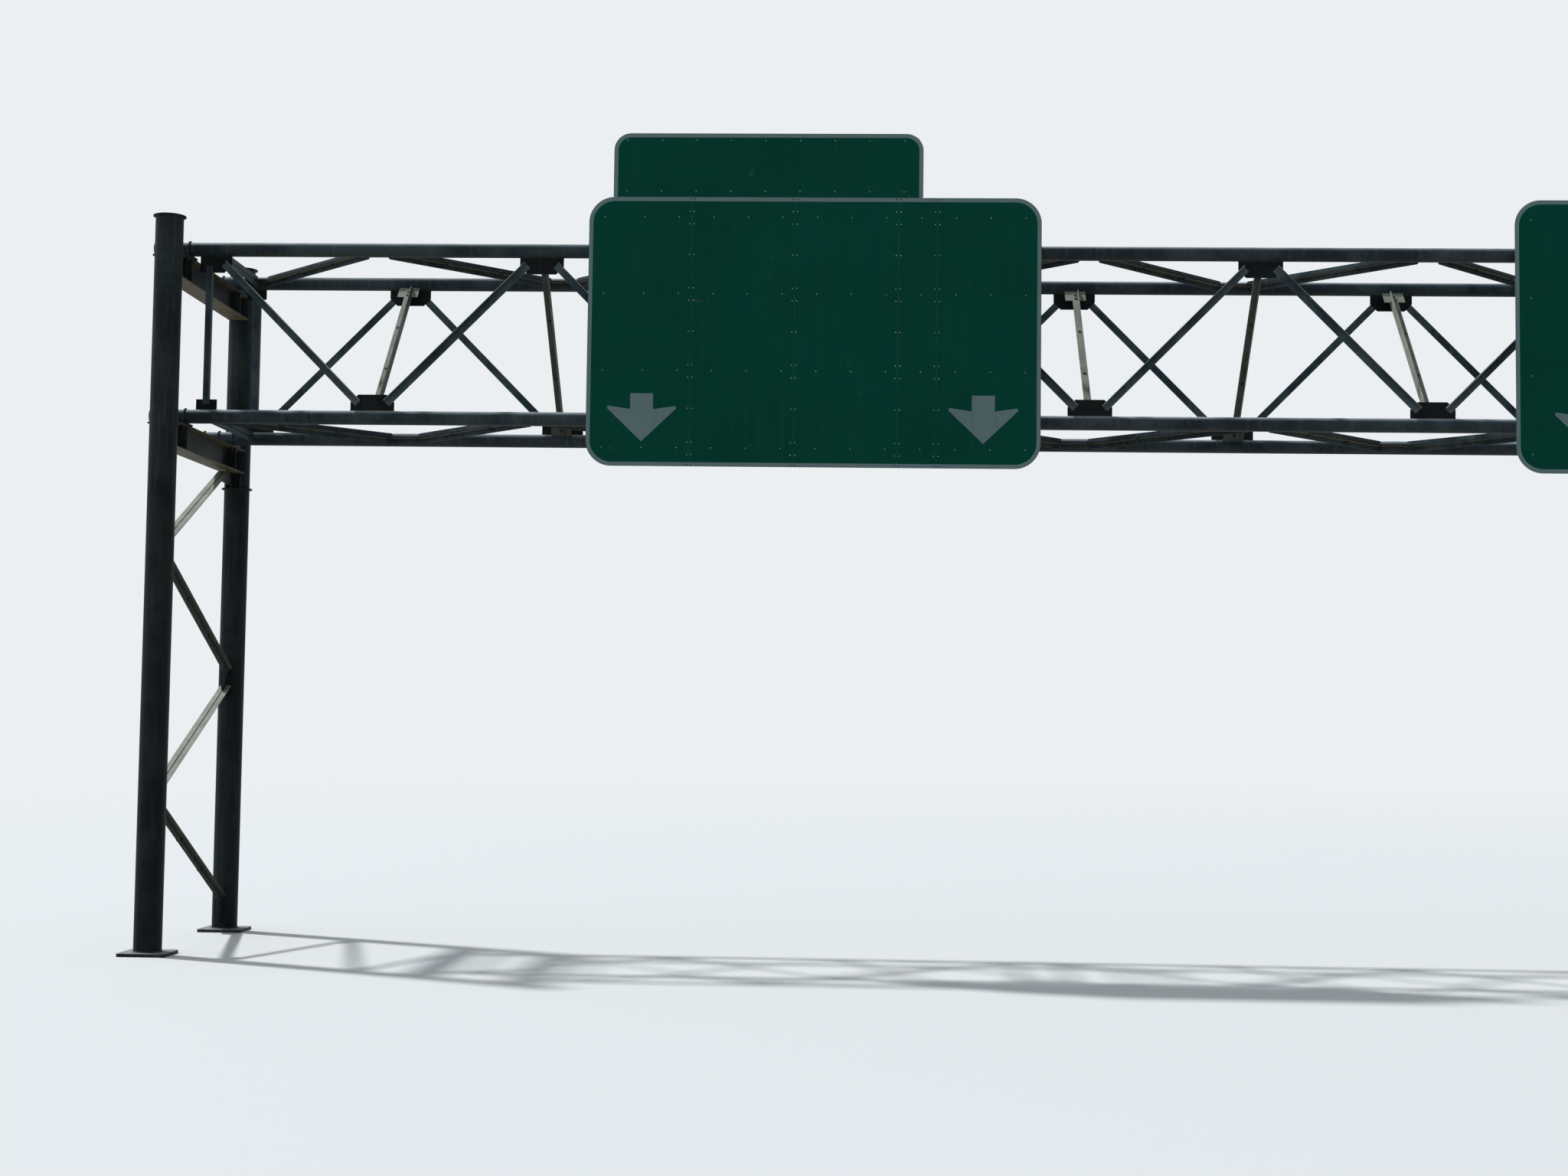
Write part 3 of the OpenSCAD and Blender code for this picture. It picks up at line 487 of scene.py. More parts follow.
# The sloped angles' pale upper faces paint the sunlight on them.
SLOPED_VALUES = {
    "Zinc": color(42, 52, 53), "Pale": color(150, 155, 145), "Dirt And Bounce Tint": color(92, 98, 96), "Top Bleach And Sunlight": 1.0,
    "Bleach And Sunlight Start": 0.1, "Underside Dirt And Bounce": 0.85}
SLOPED_ANGLE = zinc_material("sloped angle zinc", 0.4, SLOPED_VALUES)
# The sway angles' painted sunlight leans to their left faces.
SWAY_ANGLE = zinc_material("sway angle zinc", 0.4, {**SLOPED_VALUES, "Sunlit Side Lean": 0.7})
# The bolts' dark zinc partly paints the shade on their heads.
BOLT = zinc_material("bolt zinc", 0.5, {
    "Zinc": color(40, 46, 50), "Patina Scale": 9.0, "Spangle": 0.05, "Streaks": 0.2, "Salt": 0.3},
    metallic=0.3)
WELD = zinc_material("weld zinc", 0.8, {
    "Patina Scale": 14.0, "Spangle": 0.2, "Streaks": 0.35, "Salt": 0.4, "Underside Dirt And Bounce": 0.5})
SHEET = sheet_material()
FILM = film_material()
RAIL = alloy_material("rail alloy", (2.0, 260.0, 260.0), color(136, 141, 143), color(172, 176, 178))
HANGER = alloy_material("hanger alloy", (260.0, 260.0, 2.0), color(124, 129, 131), color(160, 164, 166))
RIVET = alloy_material("rivet alloy", (60.0, 60.0, 60.0), color(128, 140, 138), color(172, 180, 178))


def both(*names):
    """The names of the left and the right piece of each pair."""
    return [side + name for name in names for side in ("left_", "right_")]


CAD_FINISHES = {
    PIPE: both("chords") + ["middle_chords"],
    POST: both("front_post", "rear_post"),
    SHADED_PLATE: ["post_caps", "saddle_plates", "brace_gussets", "splice_flanges", "web_gussets", "lacing_plates",
            "seat_brackets"],
    BEAM: both("top_beam", "bottom_beam", "base_plates"),
    WEB_ANGLE: ["front_web", "rear_web"],
    ANGLE: both("end_frame") + ["splice_frames"],
    LACING: ["top_lacing", "bottom_lacing"],
    SWAY_ANGLE: ["sway_bars"],
    SLOPED_ANGLE: ["sway_plates"] + both("tower_braces"),
    BOLT: ["chord_u_bolts", "hanger_bolts"],
    SHEET: both("sign_sheets") + ["exit_panel"],
    RAIL: both("sign_rails"),
    HANGER: both("sign_hangers"),
}
for finish, names in CAD_FINISHES.items():
    for name in names:
        nodes[name].data.materials.clear()
        nodes[name].data.materials.append(finish)


# Geometry Nodes trees. The sizes of bolts and nuts are shares of their rod's width.

WASHER_R = 1.05
WASHER_T = 0.18
HEXAGON_R = 0.93
HEAD_H = 0.64
BOLT_NUT_H = 0.95
ROD_NUT_H = 0.92
JAM_NUT_R = 0.9207
JAM_NUT_H = 0.55
JAM_NUT_BASE = 1.12
BOLT_END_R = 0.47
BOLT_END_H = 1.5


def disc(wires, sides, radius, height, base):
    """A washer, a rod end or the body of a nut, with its underside at z = base."""
    mesh = wires.add("GeometryNodeMeshCylinder", {"Vertices": sides, "Radius": radius, "Depth": height})
    return wires.moved(mesh.outputs["Mesh"], wires.math("MULTIPLY_ADD", height, 0.5, base))


def hexagon(wires, radius, height, base):
    """A hexagonal head or nut, with the corners of its upper end turned off."""
    body_h = wires.times(height, 0.78)
    rim = wires.add("GeometryNodeMeshCone", {
        "Vertices": 6, "Radius Bottom": radius, "Radius Top": wires.times(radius, 0.86),
        "Depth": wires.times(height, 0.22)})
    top = wires.moved(rim.outputs["Mesh"], wires.math("ADD", base, body_h))
    return [disc(wires, 6, radius, body_h, base), top]


def washer_and_hexagon(wires, rod, washer_r, share):
    """A washer with a head or a nut on it, whose height is that share of the rod's width."""
    washer_t = wires.times(rod, WASHER_T)
    washer = disc(wires, 20, washer_r, washer_t, 0.0)
    return [washer] + hexagon(wires, wires.times(rod, HEXAGON_R), wires.times(rod, share), washer_t)


def join(wires, parts):
    joined = wires.add("GeometryNodeJoinGeometry")
    for part in parts:
        wires.tree.links.new(part, joined.inputs[0])
    return joined.outputs[0]


def scatter_end(wires, given, out, parts):
    """Puts the parts on every point, with their Z along the point's axis, and ends the tree."""
    axis = wires.add("GeometryNodeInputNamedAttribute", {"Name": "axis"}, data_type="FLOAT_VECTOR")
    spin = wires.add("GeometryNodeInputNamedAttribute", {"Name": "spin"}, data_type="FLOAT")
    aligned = wires.add("FunctionNodeAlignRotationToVector", {"Vector": axis.outputs[0]}, axis="Z")
    turn = wires.add("FunctionNodeAxisAngleToRotation", {"Axis": (0.0, 0.0, 1.0), "Angle": spin.outputs[0]})
    sockets = {"Rotation": aligned.outputs[0], "Rotate By": turn.outputs[0]}
    rotation = wires.add("FunctionNodeRotateRotation", sockets, rotation_space="LOCAL")
    placed = wires.add("GeometryNodeInstanceOnPoints", {
        "Points": given["Geometry"], "Instance": join(wires, parts), "Rotation": rotation.outputs[0]})
    return paint_end(wires, given, out, placed.outputs[0], False)


def paint_end(wires, given, out, geometry, smooth):
    """Ends a tree: real geometry, shaded smooth or flat, in the tree's material."""
    real = wires.add("GeometryNodeRealizeInstances", {"Geometry": geometry})
    shaded = wires.add("GeometryNodeSetShadeSmooth", {"Geometry": real.outputs[0], "Shade Smooth": smooth})
    sockets = {"Geometry": shaded.outputs[0], "Material": given["Material"]}
    wires.feed(out.inputs["Geometry"], wires.add("GeometryNodeSetMaterial", sockets).outputs[0])
    return wires.tree


def make_bolt_tree():
    """A hex bolt with washers and nut. A point lies under the head, and its axis points out of the head."""
    wires, given, out = new_tree("hex bolt", ("Rod", NUMBER, 0.019), ("Grip", NUMBER, 0.023))
    rod = given["Rod"]
    head = washer_and_hexagon(wires, rod, rod, HEAD_H)
    nut = washer_and_hexagon(wires, rod, rod, BOLT_NUT_H)
    nut.append(disc(wires, 12, wires.times(rod, BOLT_END_R), wires.times(rod, BOLT_END_H), 0.0))
    sockets = {"Geometry": join(wires, nut), "Rotation": (math.pi, 0.0, 0.0)}
    turned = wires.add("GeometryNodeTransform", sockets).outputs[0]
    return scatter_end(wires, given, out, head + [wires.moved(turned, wires.times(given["Grip"], -1.0))])


def make_nut_tree():
    """A washer, a nut and a thin jam nut for a rod end. The point's axis points along the rod, to its end."""
    wires, given, out = new_tree("double nut", ("Rod", NUMBER, 0.019))
    rod = given["Rod"]
    parts = washer_and_hexagon(wires, rod, wires.times(rod, WASHER_R), ROD_NUT_H)
    jam_nut = [wires.times(rod, share) for share in (JAM_NUT_R, JAM_NUT_H, JAM_NUT_BASE)]
    return scatter_end(wires, given, out, parts + hexagon(wires, *jam_nut))


def make_rivet_tree():
    """A domed rivet head with the end of its pin. A point lies on the sheet."""
    wires, given, out = new_tree("rivet", ("Radius", NUMBER, 0.006))
    radius = given["Radius"]
    ball = wires.add("GeometryNodeMeshUVSphere", {"Segments": 12, "Rings": 6, "Radius": radius})
    dome = wires.add("GeometryNodeTransform", {"Geometry": ball.outputs[0], "Scale": (1.0, 1.0, 0.42)})
    pin = disc(wires, 8, wires.times(radius, 0.3), wires.times(radius, 0.5), 0.0)
    return scatter_end(wires, given, out, [dome.outputs[0], pin])


def make_weld_tree():
    """A rippled weld bead along every path of edges."""
    wires, given, out = new_tree("weld bead", ("Bead", NUMBER, 0.006), ("Ripple", NUMBER, 0.014),
                                 ("Seed", "NodeSocketInt", 3))
    paths = wires.add("GeometryNodeMeshToCurve", {"Mesh": given["Geometry"]})
    sockets = {"Curve": paths.outputs[0], "Length": given["Ripple"]}
    stepped = wires.add("GeometryNodeResampleCurve", sockets, mode="LENGTH")
    swell = wires.add("FunctionNodeRandomValue", {2: 0.78, 3: 1.18, "Seed": given["Seed"]}, data_type="FLOAT")
    profile = wires.add("GeometryNodeCurvePrimitiveCircle", {"Resolution": 6, "Radius": 1.0})
    swept = wires.add("GeometryNodeCurveToMesh", {
        "Curve": stepped.outputs[0], "Profile Curve": profile.outputs[0],
        "Scale": wires.times(swell.outputs[1], given["Bead"]), "Fill Caps": True})
    return paint_end(wires, given, out, swept.outputs[0], True)


BOLT_TREE = make_bolt_tree()
NUT_TREE = make_nut_tree()
RIVET_TREE = make_rivet_tree()
WELD_TREE = make_weld_tree()


def add_object(name, data):
    made = bpy.data.objects.new(name, data)
    bpy.context.scene.collection.objects.link(made)
    return made


def finish_piece(name, mesh):
    """A finished piece, with its place in its mesh, that rides on the gantry."""
    piece = add_object(name, mesh)
    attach(piece, "root")


def grow(name, seed_mesh, tree, values):
    """Runs a Geometry Nodes tree on the seed mesh and keeps what it makes as a plain mesh."""
    seed = add_object(name + "_seed", seed_mesh)
    modifier = seed.modifiers.new("grow", "NODES")
    modifier.node_group = tree
    labels = {item.name: item.identifier for item in tree.interface.items_tree if item.in_out == "INPUT"}
    for label, value in values.items():
        modifier[labels[label]] = value
    bpy.context.view_layer.update()
    graph = bpy.context.evaluated_depsgraph_get()
    mesh = bpy.data.meshes.new_from_object(seed.evaluated_get(graph))
    mesh.name = name
    bpy.data.objects.remove(seed)
    finish_piece(name, mesh)


def scatter(name, places, tree, values):
    """Puts a tree's fastener at each (point, axis) of places."""
    mesh = bpy.data.meshes.new(name + "_points")
    mesh.from_pydata([tuple(point) for point, _ in places], [], [])
    axes = mesh.attributes.new("axis", "FLOAT_VECTOR", "POINT")
    axes.data.foreach_set("vector", [value for _, axis in places for value in axis])
    spins = mesh.attributes.new("spin", "FLOAT", "POINT")
    spins.data.foreach_set("value", [random.uniform(0, math.pi) for _ in places])
    grow(name, mesh, tree, values)


def weld(name, paths, bead):
    """A weld bead along each path of points."""
    points = []
    edges = []
    for path in paths:
        first = len(points)
        points += [tuple(point) for point in path]
        edges += [(first + i, first + i + 1) for i in range(len(path) - 1)]
    mesh = bpy.data.meshes.new(name + "_paths")
    mesh.from_pydata(points, edges, [])
    grow(name, mesh, WELD_TREE, {"Bead": bead, "Ripple": 2.2 * bead, "Material": WELD})


def plain_piece(name, vertices, faces, material):
    """A piece from vertices and faces, with its faces turned outward."""
    mesh = bpy.data.meshes.new(name)
    mesh.from_pydata([tuple(vertex) for vertex in vertices], [], faces)
    shape = bmesh.new()
    shape.from_mesh(mesh)
    bmesh.ops.recalc_face_normals(shape, faces=shape.faces)
    shape.to_mesh(mesh)
    shape.free()
    mesh.materials.append(material)
    finish_piece(name, mesh)


# Places of the truss's nodes and bars

SECTIONS = (-1, 0, 1)  # left, middle and right
PAIR_HALF = PLATE_T / 2 + PAIR_T
BRACE_HALF = TOWER_PLATE_T / 2 + BRACE_T
FAR_NODES = (-END_X, -INNER_END_X, -MID_PANELS * PANEL, MID_PANELS * PANEL, INNER_END_X, END_X)


def section_nodes(section):
    """The nodes of a section of the truss, from left to right, as (x, is_low)."""
    if section == 0:
        return [(i * PANEL, i % 2 != 0) for i in range(-MID_PANELS, MID_PANELS + 1)]
    return sorted((section * (INNER_END_X + i * PANEL), i % 2 == 0) for i in range(END_PANELS + 1))


def web_level(is_low, side):
    """The level of a node's web gusset. side: -1 front, 1 rear."""
    return LOW if is_low == (side < 0) else TOP


def level_plate_side(is_low, level):
    """The side on which a node's long lacing plate stands at that level."""
    low_side = -1 if level == TOP else 1
    return low_side if is_low else -low_side


def sway_corners(x, is_low):
    """The front and rear ends of a sway bar, and the upward normal of its plates."""
    front = Vector((x, -SIDE_Y, LOW if is_low else TOP))
    rear = Vector((x, SIDE_Y, TOP if is_low else LOW))
    across = Vector((1, 0, 0)).cross(rear - front).normalized()
    return front, rear, across if across.z > 0 else -across


def sway_bars():
    """The sway bars, as every set of double angles here: (start node, end node, bolt axis, backs).

    backs: the distances of the bar's ends from its nodes.
    """
    return [(*sway_corners(x, is_low), SWAY_BACKS)
            for section in SECTIONS for x, is_low in section_nodes(section)[1:-1]]


def lacing_bars():
    """The level bars in the bottom and the top of the truss."""
    bars = []
    for level in (LOW, TOP):
        for section in SECTIONS:
            row = [Vector((x, level_plate_side(is_low, level) * SIDE_Y, level))
                   for x, is_low in section_nodes(section)]
            bars += [(*ends, UP, LACING_BACKS) for ends in zip(row, row[1:])]
    return bars


def strut_bars():
    """The level bars straight across at the ends of the truss's sections."""
    return [(Vector((x, -SIDE_Y, level)), Vector((x, SIDE_Y, level)), UP, SWAY_BACKS)
            for x in FAR_NODES for level in (LOW, TOP)]


def brace_bars():
    """The zigzag braces of the two towers."""
    bars = []
    stretch = math.hypot(2 * POST_Y, BRACE_RISE) / (2 * POST_Y)
    for end in (-1, 1):
        for i in range(BRACES):
            y = POST_Y if i % 2 == 0 else -POST_Y
            start = Vector((end * TOWER_X, y, BRACE_FOOT + i * BRACE_RISE))
            stop = Vector((end * TOWER_X, -y, BRACE_FOOT + (i + 1) * BRACE_RISE))
            top_back = BRACE_BACK_TOP if i == BRACES - 1 else BRACE_BACK
            bars.append((start, stop, Vector((-end, 0, 0)), (BRACE_BACK * stretch, top_back * stretch)))
    return bars


def bar_bolts(start, end, axis, backs, insets, half_grip):
    """Bolts through a double angle: at the insets from both its ends, then two stitch bolts at its thirds."""
    along = (end - start).normalized()
    first = backs[0]
    last = (end - start).length - backs[1]
    steps = [first + inset for inset in insets] + [last - inset for inset in insets]
    steps += [first + (last - first) * share for share in (1 / 3, 2 / 3)]
    return [(start + along * step + axis * half_grip, axis) for step in steps]


def flange_bolts():
    ring = (2 * CHORD_R + FLANGE_OD) / 4
    turns = [(i + 0.5) * 2 * math.pi / FLANGE_BOLTS for i in range(FLANGE_BOLTS)]
    x = SPLICE_X + FLANGE_T + SEAT
    return [((end * x, side * SIDE_Y + ring * math.cos(turn), level + ring * math.sin(turn)), (end, 0, 0))
            for end, side, level in CHORD_SPOTS for turn in turns]


def saddle_nuts():
    """Nuts under the beams' flanges, and under the saddle where it passes the flange."""
    leg = PLATE_ROOT + U_ROD / 2
    flange_drop = BEAM_DROP + BEAM_FLANGE_T
    rows = ((-U_NEAR, flange_drop), (U_NEAR, flange_drop), (U_FAR, BEAM_DROP))
    return [((end * (TOWER_X + x), side * SIDE_Y + leg_side * leg, level - drop), (0, 0, -1))
            for end, side, level in CHORD_SPOTS for x, drop in rows for leg_side in (-1, 1)]


def hanger_nuts():
    leg = PLATE_ROOT + HANGER_ROD / 2
    y = HANGER_BACK_Y - HANGER_T
    return [((x + side * HANGER_ROD_SIDE, y, level + leg_side * leg), FORWARD)
            for x in HANGERS_X for level in (LOW, TOP) for side in (-1, 1) for leg_side in (-1, 1)]


def rail_bolts():
    """Bolts that clamp the rails' flanges to the hangers."""
    return [((x + side * HANGER_ROD_SIDE, HANGER_FACE_Y - RAIL_T, z + RAIL_FLANGE / 2), FORWARD)
            for x in HANGERS_X for z in RAILS + (EXIT_RAILS if exit_low.x < x < exit_high.x else [])
            for side in (-1, 1)]


UP = Vector((0, 0, 1))
FORWARD = (0, -1, 0)
RAIL_PITCH = (SIGN_TOP - SIGN_LOW - 2 * RAIL_EDGE) / (RAIL_COUNT - 1)
RAILS = [SIGN_LOW + RAIL_EDGE + i * RAIL_PITCH for i in range(RAIL_COUNT)]
EXIT_RAILS = [exit_low.z + EXIT_RAIL_EDGE, exit_high.z - EXIT_RAIL_EDGE]
END_INSETS = (0.074, 0.150)
LACING_INSETS = (0.030, 0.090)
BRACE_INSETS = (0.040, 0.110, 0.180)

# The double angles: name of their bolts, bars, insets of the end bolts, rod, half grip, half of the gap
DOUBLE_ANGLES = (
    ("sway_bolts", sway_bars(), END_INSETS, 0.019, PAIR_HALF, PLATE_T / 2),
    ("lacing_bolts", lacing_bars(), LACING_INSETS, 0.019, PAIR_HALF, PLATE_T / 2),
    ("strut_bolts", strut_bars(), END_INSETS, 0.019, PAIR_HALF, PLATE_T / 2),
    ("brace_bolts", brace_bars(), BRACE_INSETS, 0.022, BRACE_HALF, TOWER_PLATE_T / 2),
)
for name, bars, insets, rod, half_grip, _ in DOUBLE_ANGLES:
    bolts = [place for bar in bars for place in bar_bolts(*bar, insets, half_grip)]
    scatter(name, bolts, BOLT_TREE, {"Rod": rod, "Grip": 2 * half_grip, "Material": BOLT})
for name, bolts, tree, values in (
        ("flange_bolts", flange_bolts(), BOLT_TREE, {"Rod": 0.024, "Grip": 2 * (FLANGE_T + SEAT)}),
        ("saddle_nuts", saddle_nuts(), NUT_TREE, {"Rod": U_ROD}),
        ("hanger_nuts", hanger_nuts(), NUT_TREE, {"Rod": HANGER_ROD}),
        ("rail_bolts", rail_bolts(), BOLT_TREE, {"Rod": 0.012, "Grip": RAIL_T + HANGER_T})):
    scatter(name, bolts, tree, {**values, "Material": BOLT})


# Rivets of the signs. Distances across are from the panel's left edge.

RIVET_DROP = 0.008
SEAM_RIVET_SIDE = 0.026
SEAM_RIVET_ABOVE = 0.060
SEAM_RIVET_BELOW = 0.088
BORDER_RIVET_EDGE = 0.020
SIGN_COLUMNS = [0.184] + [0.658 + 0.4085 * i for i in range(12)]
EXIT_COLUMNS = [0.159 + 0.4095 * i for i in range(9)]
FILM_T = 0.0004


def seam_pairs(sign_x, levels):
    """The places of pairs of rivets beside each seam."""
    return [(seam + side * SEAM_RIVET_SIDE, z) for seam in sheet_edges(sign_x)[1:-1]
            for z in levels for side in (-1, 1)]


def sign_rivets(sign_x):
    """Rivets along the rails, and pairs beside each seam that hold the splice bars."""
    levels = [level for z in RAILS for level in (z + SEAM_RIVET_ABOVE, z - SEAM_RIVET_BELOW)]
    levels += [(low + high) / 2 for low, high in zip(RAILS, RAILS[1:])]
    return [(sign_x + x, z - RIVET_DROP) for z in RAILS for x in SIGN_COLUMNS] + seam_pairs(sign_x, levels)


def rivet(name, places, y=SIGN_FACE_Y, radius=0.007, material=RIVET):
    points = [((x, y, z), FORWARD) for x, z in places]
    scatter(name, points, RIVET_TREE, {"Radius": radius, "Material": material})


rivet("left_sign_rivets", sign_rivets(LEFT_SIGN_X))
rivet("right_sign_rivets", sign_rivets(RIGHT_SIGN_X))
exit_rivets = [(exit_low.x + x, z - RIVET_DROP) for z in EXIT_RAILS for x in EXIT_COLUMNS]
rivet("exit_panel_rivets", exit_rivets)
border_levels = (SIGN_LOW + BORDER_RIVET_EDGE, SIGN_TOP - BORDER_RIVET_EDGE)
for side_name, sign_x in (("left", LEFT_SIGN_X), ("right", RIGHT_SIGN_X)):
    rivet(side_name + "_border_rivets", seam_pairs(sign_x, border_levels), SIGN_FACE_Y - FILM_T, 0.008, BOLT)


# Borders, arrows, splice bars and the exit panel's joint bar

BORDER_INSET = 0.003
BORDER_W = 0.046
ARC_STEPS = 16
ARROW_SHAFT_HALF = 0.1345
ARROW_SHAFT_H = 0.187
ARROW_H = 0.569
ARROW_WING_X = 0.387
ARROW_WING_DROP = 0.170
ARROW_WING_R = 0.020
ARROW_WING_START = -8
ARROW_WING_TURN = 144
ARROW_WING_STEPS = 8
ARROW_TOP_DROP = 2.34
LEFT_ARROWS = (0.656, SIGN_W - 0.67)
RIGHT_ARROWS = (0.85, SIGN_W - 0.85)
SPLICE_BAR_HALF = 0.045
SPLICE_BAR_T = 0.003
SPLICE_BAR_GAP = 0.004
JOINT_BAR_SHORT = 0.012
JOINT_BAR_LOW = SIGN_TOP - 0.0035
JOINT_BAR_HIGH = exit_low.z + 0.028


def flat_piece(name, outlines, front_y, back_y, material):
    """A piece of flat plates between two Y planes, from their outlines in X and Z."""
    vertices = []
    faces = []
    for outline in outlines:
        first = len(vertices)
        count = len(outline)
        vertices += [(x, y, z) for y in (front_y, back_y) for x, z in outline]
        faces.append([first + i for i in range(count)])
        faces.append([first + 2 * count - 1 - i for i in range(count)])
        for i in range(count):
            j = (i + 1) % count
            faces.append([first + i, first + count + i, first + count + j, first + j])
    plain_piece(name, vertices, faces, material)


def film_piece(name, outlines):
    flat_piece(name, outlines, SIGN_FACE_Y - FILM_T, SIGN_FACE_Y, FILM)


def back_bars(name, outlines):
    flat_piece(name, outlines, SHEET_BACK_Y, SHEET_BACK_Y + SPLICE_BAR_T, HANGER)


def corner_arc(center_x, center_z, radius, start):
    turns = [start + math.pi / 2 * i / ARC_STEPS for i in range(ARC_STEPS + 1)]
    return [(center_x + radius * math.cos(t), center_z + radius * math.sin(t)) for t in turns]


def rectangle(low_x, high_x, low_z, high_z):
    return [(low_x, low_z), (high_x, low_z), (high_x, high_z), (low_x, high_z)]


def border_strips(low_x, high_x, low_z, high_z, radius, seams, has_bottom):
    """The outlines of a panel's border: round corners, sides, and level runs that stop at the seams."""
    strips = []
    outer = BORDER_INSET
    inner = BORDER_INSET + BORDER_W
    left_x = low_x + radius
    right_x = high_x - radius
    top_z = high_z - radius
    bottom_z = low_z + radius if has_bottom else low_z
    corners = [(right_x, top_z, 0.0), (left_x, top_z, math.pi / 2)]
    if has_bottom:
        corners += [(left_x, bottom_z, math.pi), (right_x, bottom_z, 1.5 * math.pi)]
    for x, z, turn in corners:
        strips.append(corner_arc(x, z, radius - outer, turn) + corner_arc(x, z, radius - inner, turn)[::-1])
    strips.append(rectangle(low_x + outer, low_x + inner, bottom_z, top_z))
    strips.append(rectangle(high_x - inner, high_x - outer, bottom_z, top_z))
    stops = [left_x] + [edge for seam in seams for edge in (seam - SHEET_SEAM, seam + SHEET_SEAM)] + [right_x]
    for start, end in zip(stops[::2], stops[1::2]):
        strips.append(rectangle(start, end, high_z - inner, high_z - outer))
        if has_bottom:
            strips.append(rectangle(start, end, low_z + outer, low_z + inner))
    return strips


def arrow_outline(center_x):
    """A down arrow's outline: shaft, round wing tips and point."""
    top = SIGN_TOP - ARROW_TOP_DROP
    steps = [ARROW_WING_START + ARROW_WING_TURN * i / ARROW_WING_STEPS for i in range(ARROW_WING_STEPS + 1)]
    wing = [(ARROW_WING_X + ARROW_WING_R * math.sin(t), ARROW_WING_DROP - ARROW_WING_R * math.cos(t))
            for t in map(math.radians, steps)]
    half = [(ARROW_SHAFT_HALF, 0.0), (ARROW_SHAFT_HALF, ARROW_SHAFT_H)] + wing
    left = [(center_x - x, top - drop) for x, drop in half]
    right = [(center_x + x, top - drop) for x, drop in half]
    return left + [(center_x, top - ARROW_H)] + right[::-1]


def splice_outlines(sign_x):
    """Flat bars on the back of the seams, between the rails."""
    stops = [SIGN_LOW + SPLICE_BAR_GAP]
    for z in RAILS:
        stops += [z - RAIL_FLANGE + RAIL_T / 2 - SPLICE_BAR_GAP, z + RAIL_T / 2 + SPLICE_BAR_GAP]
    stops.append(SIGN_TOP - SPLICE_BAR_GAP)
    return [rectangle(seam - SPLICE_BAR_HALF, seam + SPLICE_BAR_HALF, low, high)
            for seam in sheet_edges(sign_x)[1:-1] for low, high in zip(stops[::2], stops[1::2])]


for side_name, sign_x, arrows in (("left", LEFT_SIGN_X, LEFT_ARROWS), ("right", RIGHT_SIGN_X, RIGHT_ARROWS)):
    seams = sheet_edges(sign_x)[1:-1]
    border = border_strips(sign_x, sign_x + SIGN_W, SIGN_LOW, SIGN_TOP, SIGN_CORNER, seams, True)
    film_piece(side_name + "_sign_border", border)
    film_piece(side_name + "_sign_arrows", [arrow_outline(sign_x + x) for x in arrows])
    back_bars(side_name + "_splice_bars", splice_outlines(sign_x))
# This bar covers the joint between the exit panel and the sign below
back_bars("exit_joint_bar", [rectangle(exit_low.x + JOINT_BAR_SHORT, exit_high.x - JOINT_BAR_SHORT,
                                       JOINT_BAR_LOW, JOINT_BAR_HIGH)])
film_piece("exit_panel_border",
           border_strips(exit_low.x, exit_high.x, exit_low.z, exit_high.z, EXIT_CORNER, [], False))


# Weld beads. The first four lengths say how far a bead's middle lies off the surface or the edge beside it.

BEAD_OFF = 0.002
RING_OFF = 0.003
BASE_RING_OFF = 0.004
EDGE_OFF = 0.001
RING_STEPS = 40
FLANGE_BEAD_STEPS = 16


def root_beads(point, out, half_t, before, after):
    """Two beads along X where a plate stands on a chord. out points from the chord's middle to the plate."""
    across = Vector((1, 0, 0)).cross(out)
    shift = half_t + BEAD_OFF
    reach = math.sqrt(CHORD_R ** 2 - shift ** 2)
    beads = []
    for face in (-1, 1):
        middle = point + out * reach + across * face * shift
        beads.append([middle - Vector((before, 0, 0)), middle + Vector((after, 0, 0))])
    return beads


def gusset_welds():
    """Beads at the roots of the web gussets, the lacing plates and the sway plates."""
    paths = []
    for section in SECTIONS:
        row = section_nodes(section)
        last = len(row) - 1
        for index, (x, is_low) in enumerate(row):
            at_end = index in (0, last)
            reach = [GUSSET_SHORT if index == edge else GUSSET_HALF for edge in (0, last)]
            for side, level in ((-1, LOW), (-1, TOP), (1, LOW), (1, TOP)):
                point = Vector((x, side * SIDE_Y, level))
                upright = UP if level == LOW else -UP
                inward = Vector((0, -side, 0))
                for out, half_t, is_long, end_half in (
                        (upright, GUSSET_T / 2, web_level(is_low, side) == level, CORNER_HALF),
                        (inward, PLATE_T / 2, level_plate_side(is_low, level) == side, PLATE_HALF)):
                    if is_long or at_end:
                        paths += root_beads(point, out, half_t, *(reach if is_long else (end_half, end_half)))
            if not at_end:
                front, rear, _ = sway_corners(x, is_low)
                along = (rear - front).normalized()
                paths += root_beads(front, along, PLATE_T / 2, PLATE_HALF, PLATE_HALF)
                paths += root_beads(rear, -along, PLATE_T / 2, PLATE_HALF, PLATE_HALF)
    return paths


def web_bar_welds():
    """Beads round the ends of the web angles on their gussets."""
    paths = []
    for side in (-1, 1):
        for section in SECTIONS:
            row = [Vector((x, side * SIDE_Y, web_level(is_low, side)))
                   for x, is_low in section_nodes(section)]
            for ends in zip(row, row[1:]):
                for point, other in (ends, ends[::-1]):
                    along = (other - point).normalized()
                    across = Vector((-along.z, 0, along.x)) * (WEB_LEG / 2 + EDGE_OFF)
                    face = Vector((0, side * (GUSSET_T / 2 + BEAD_OFF), 0))
                    near = point + along * (WEB_BACK - EDGE_OFF) + face
                    far = point + along * GUSSET_EDGE + face
                    paths.append([far - across, near - across, near + across, far + across])
    return paths


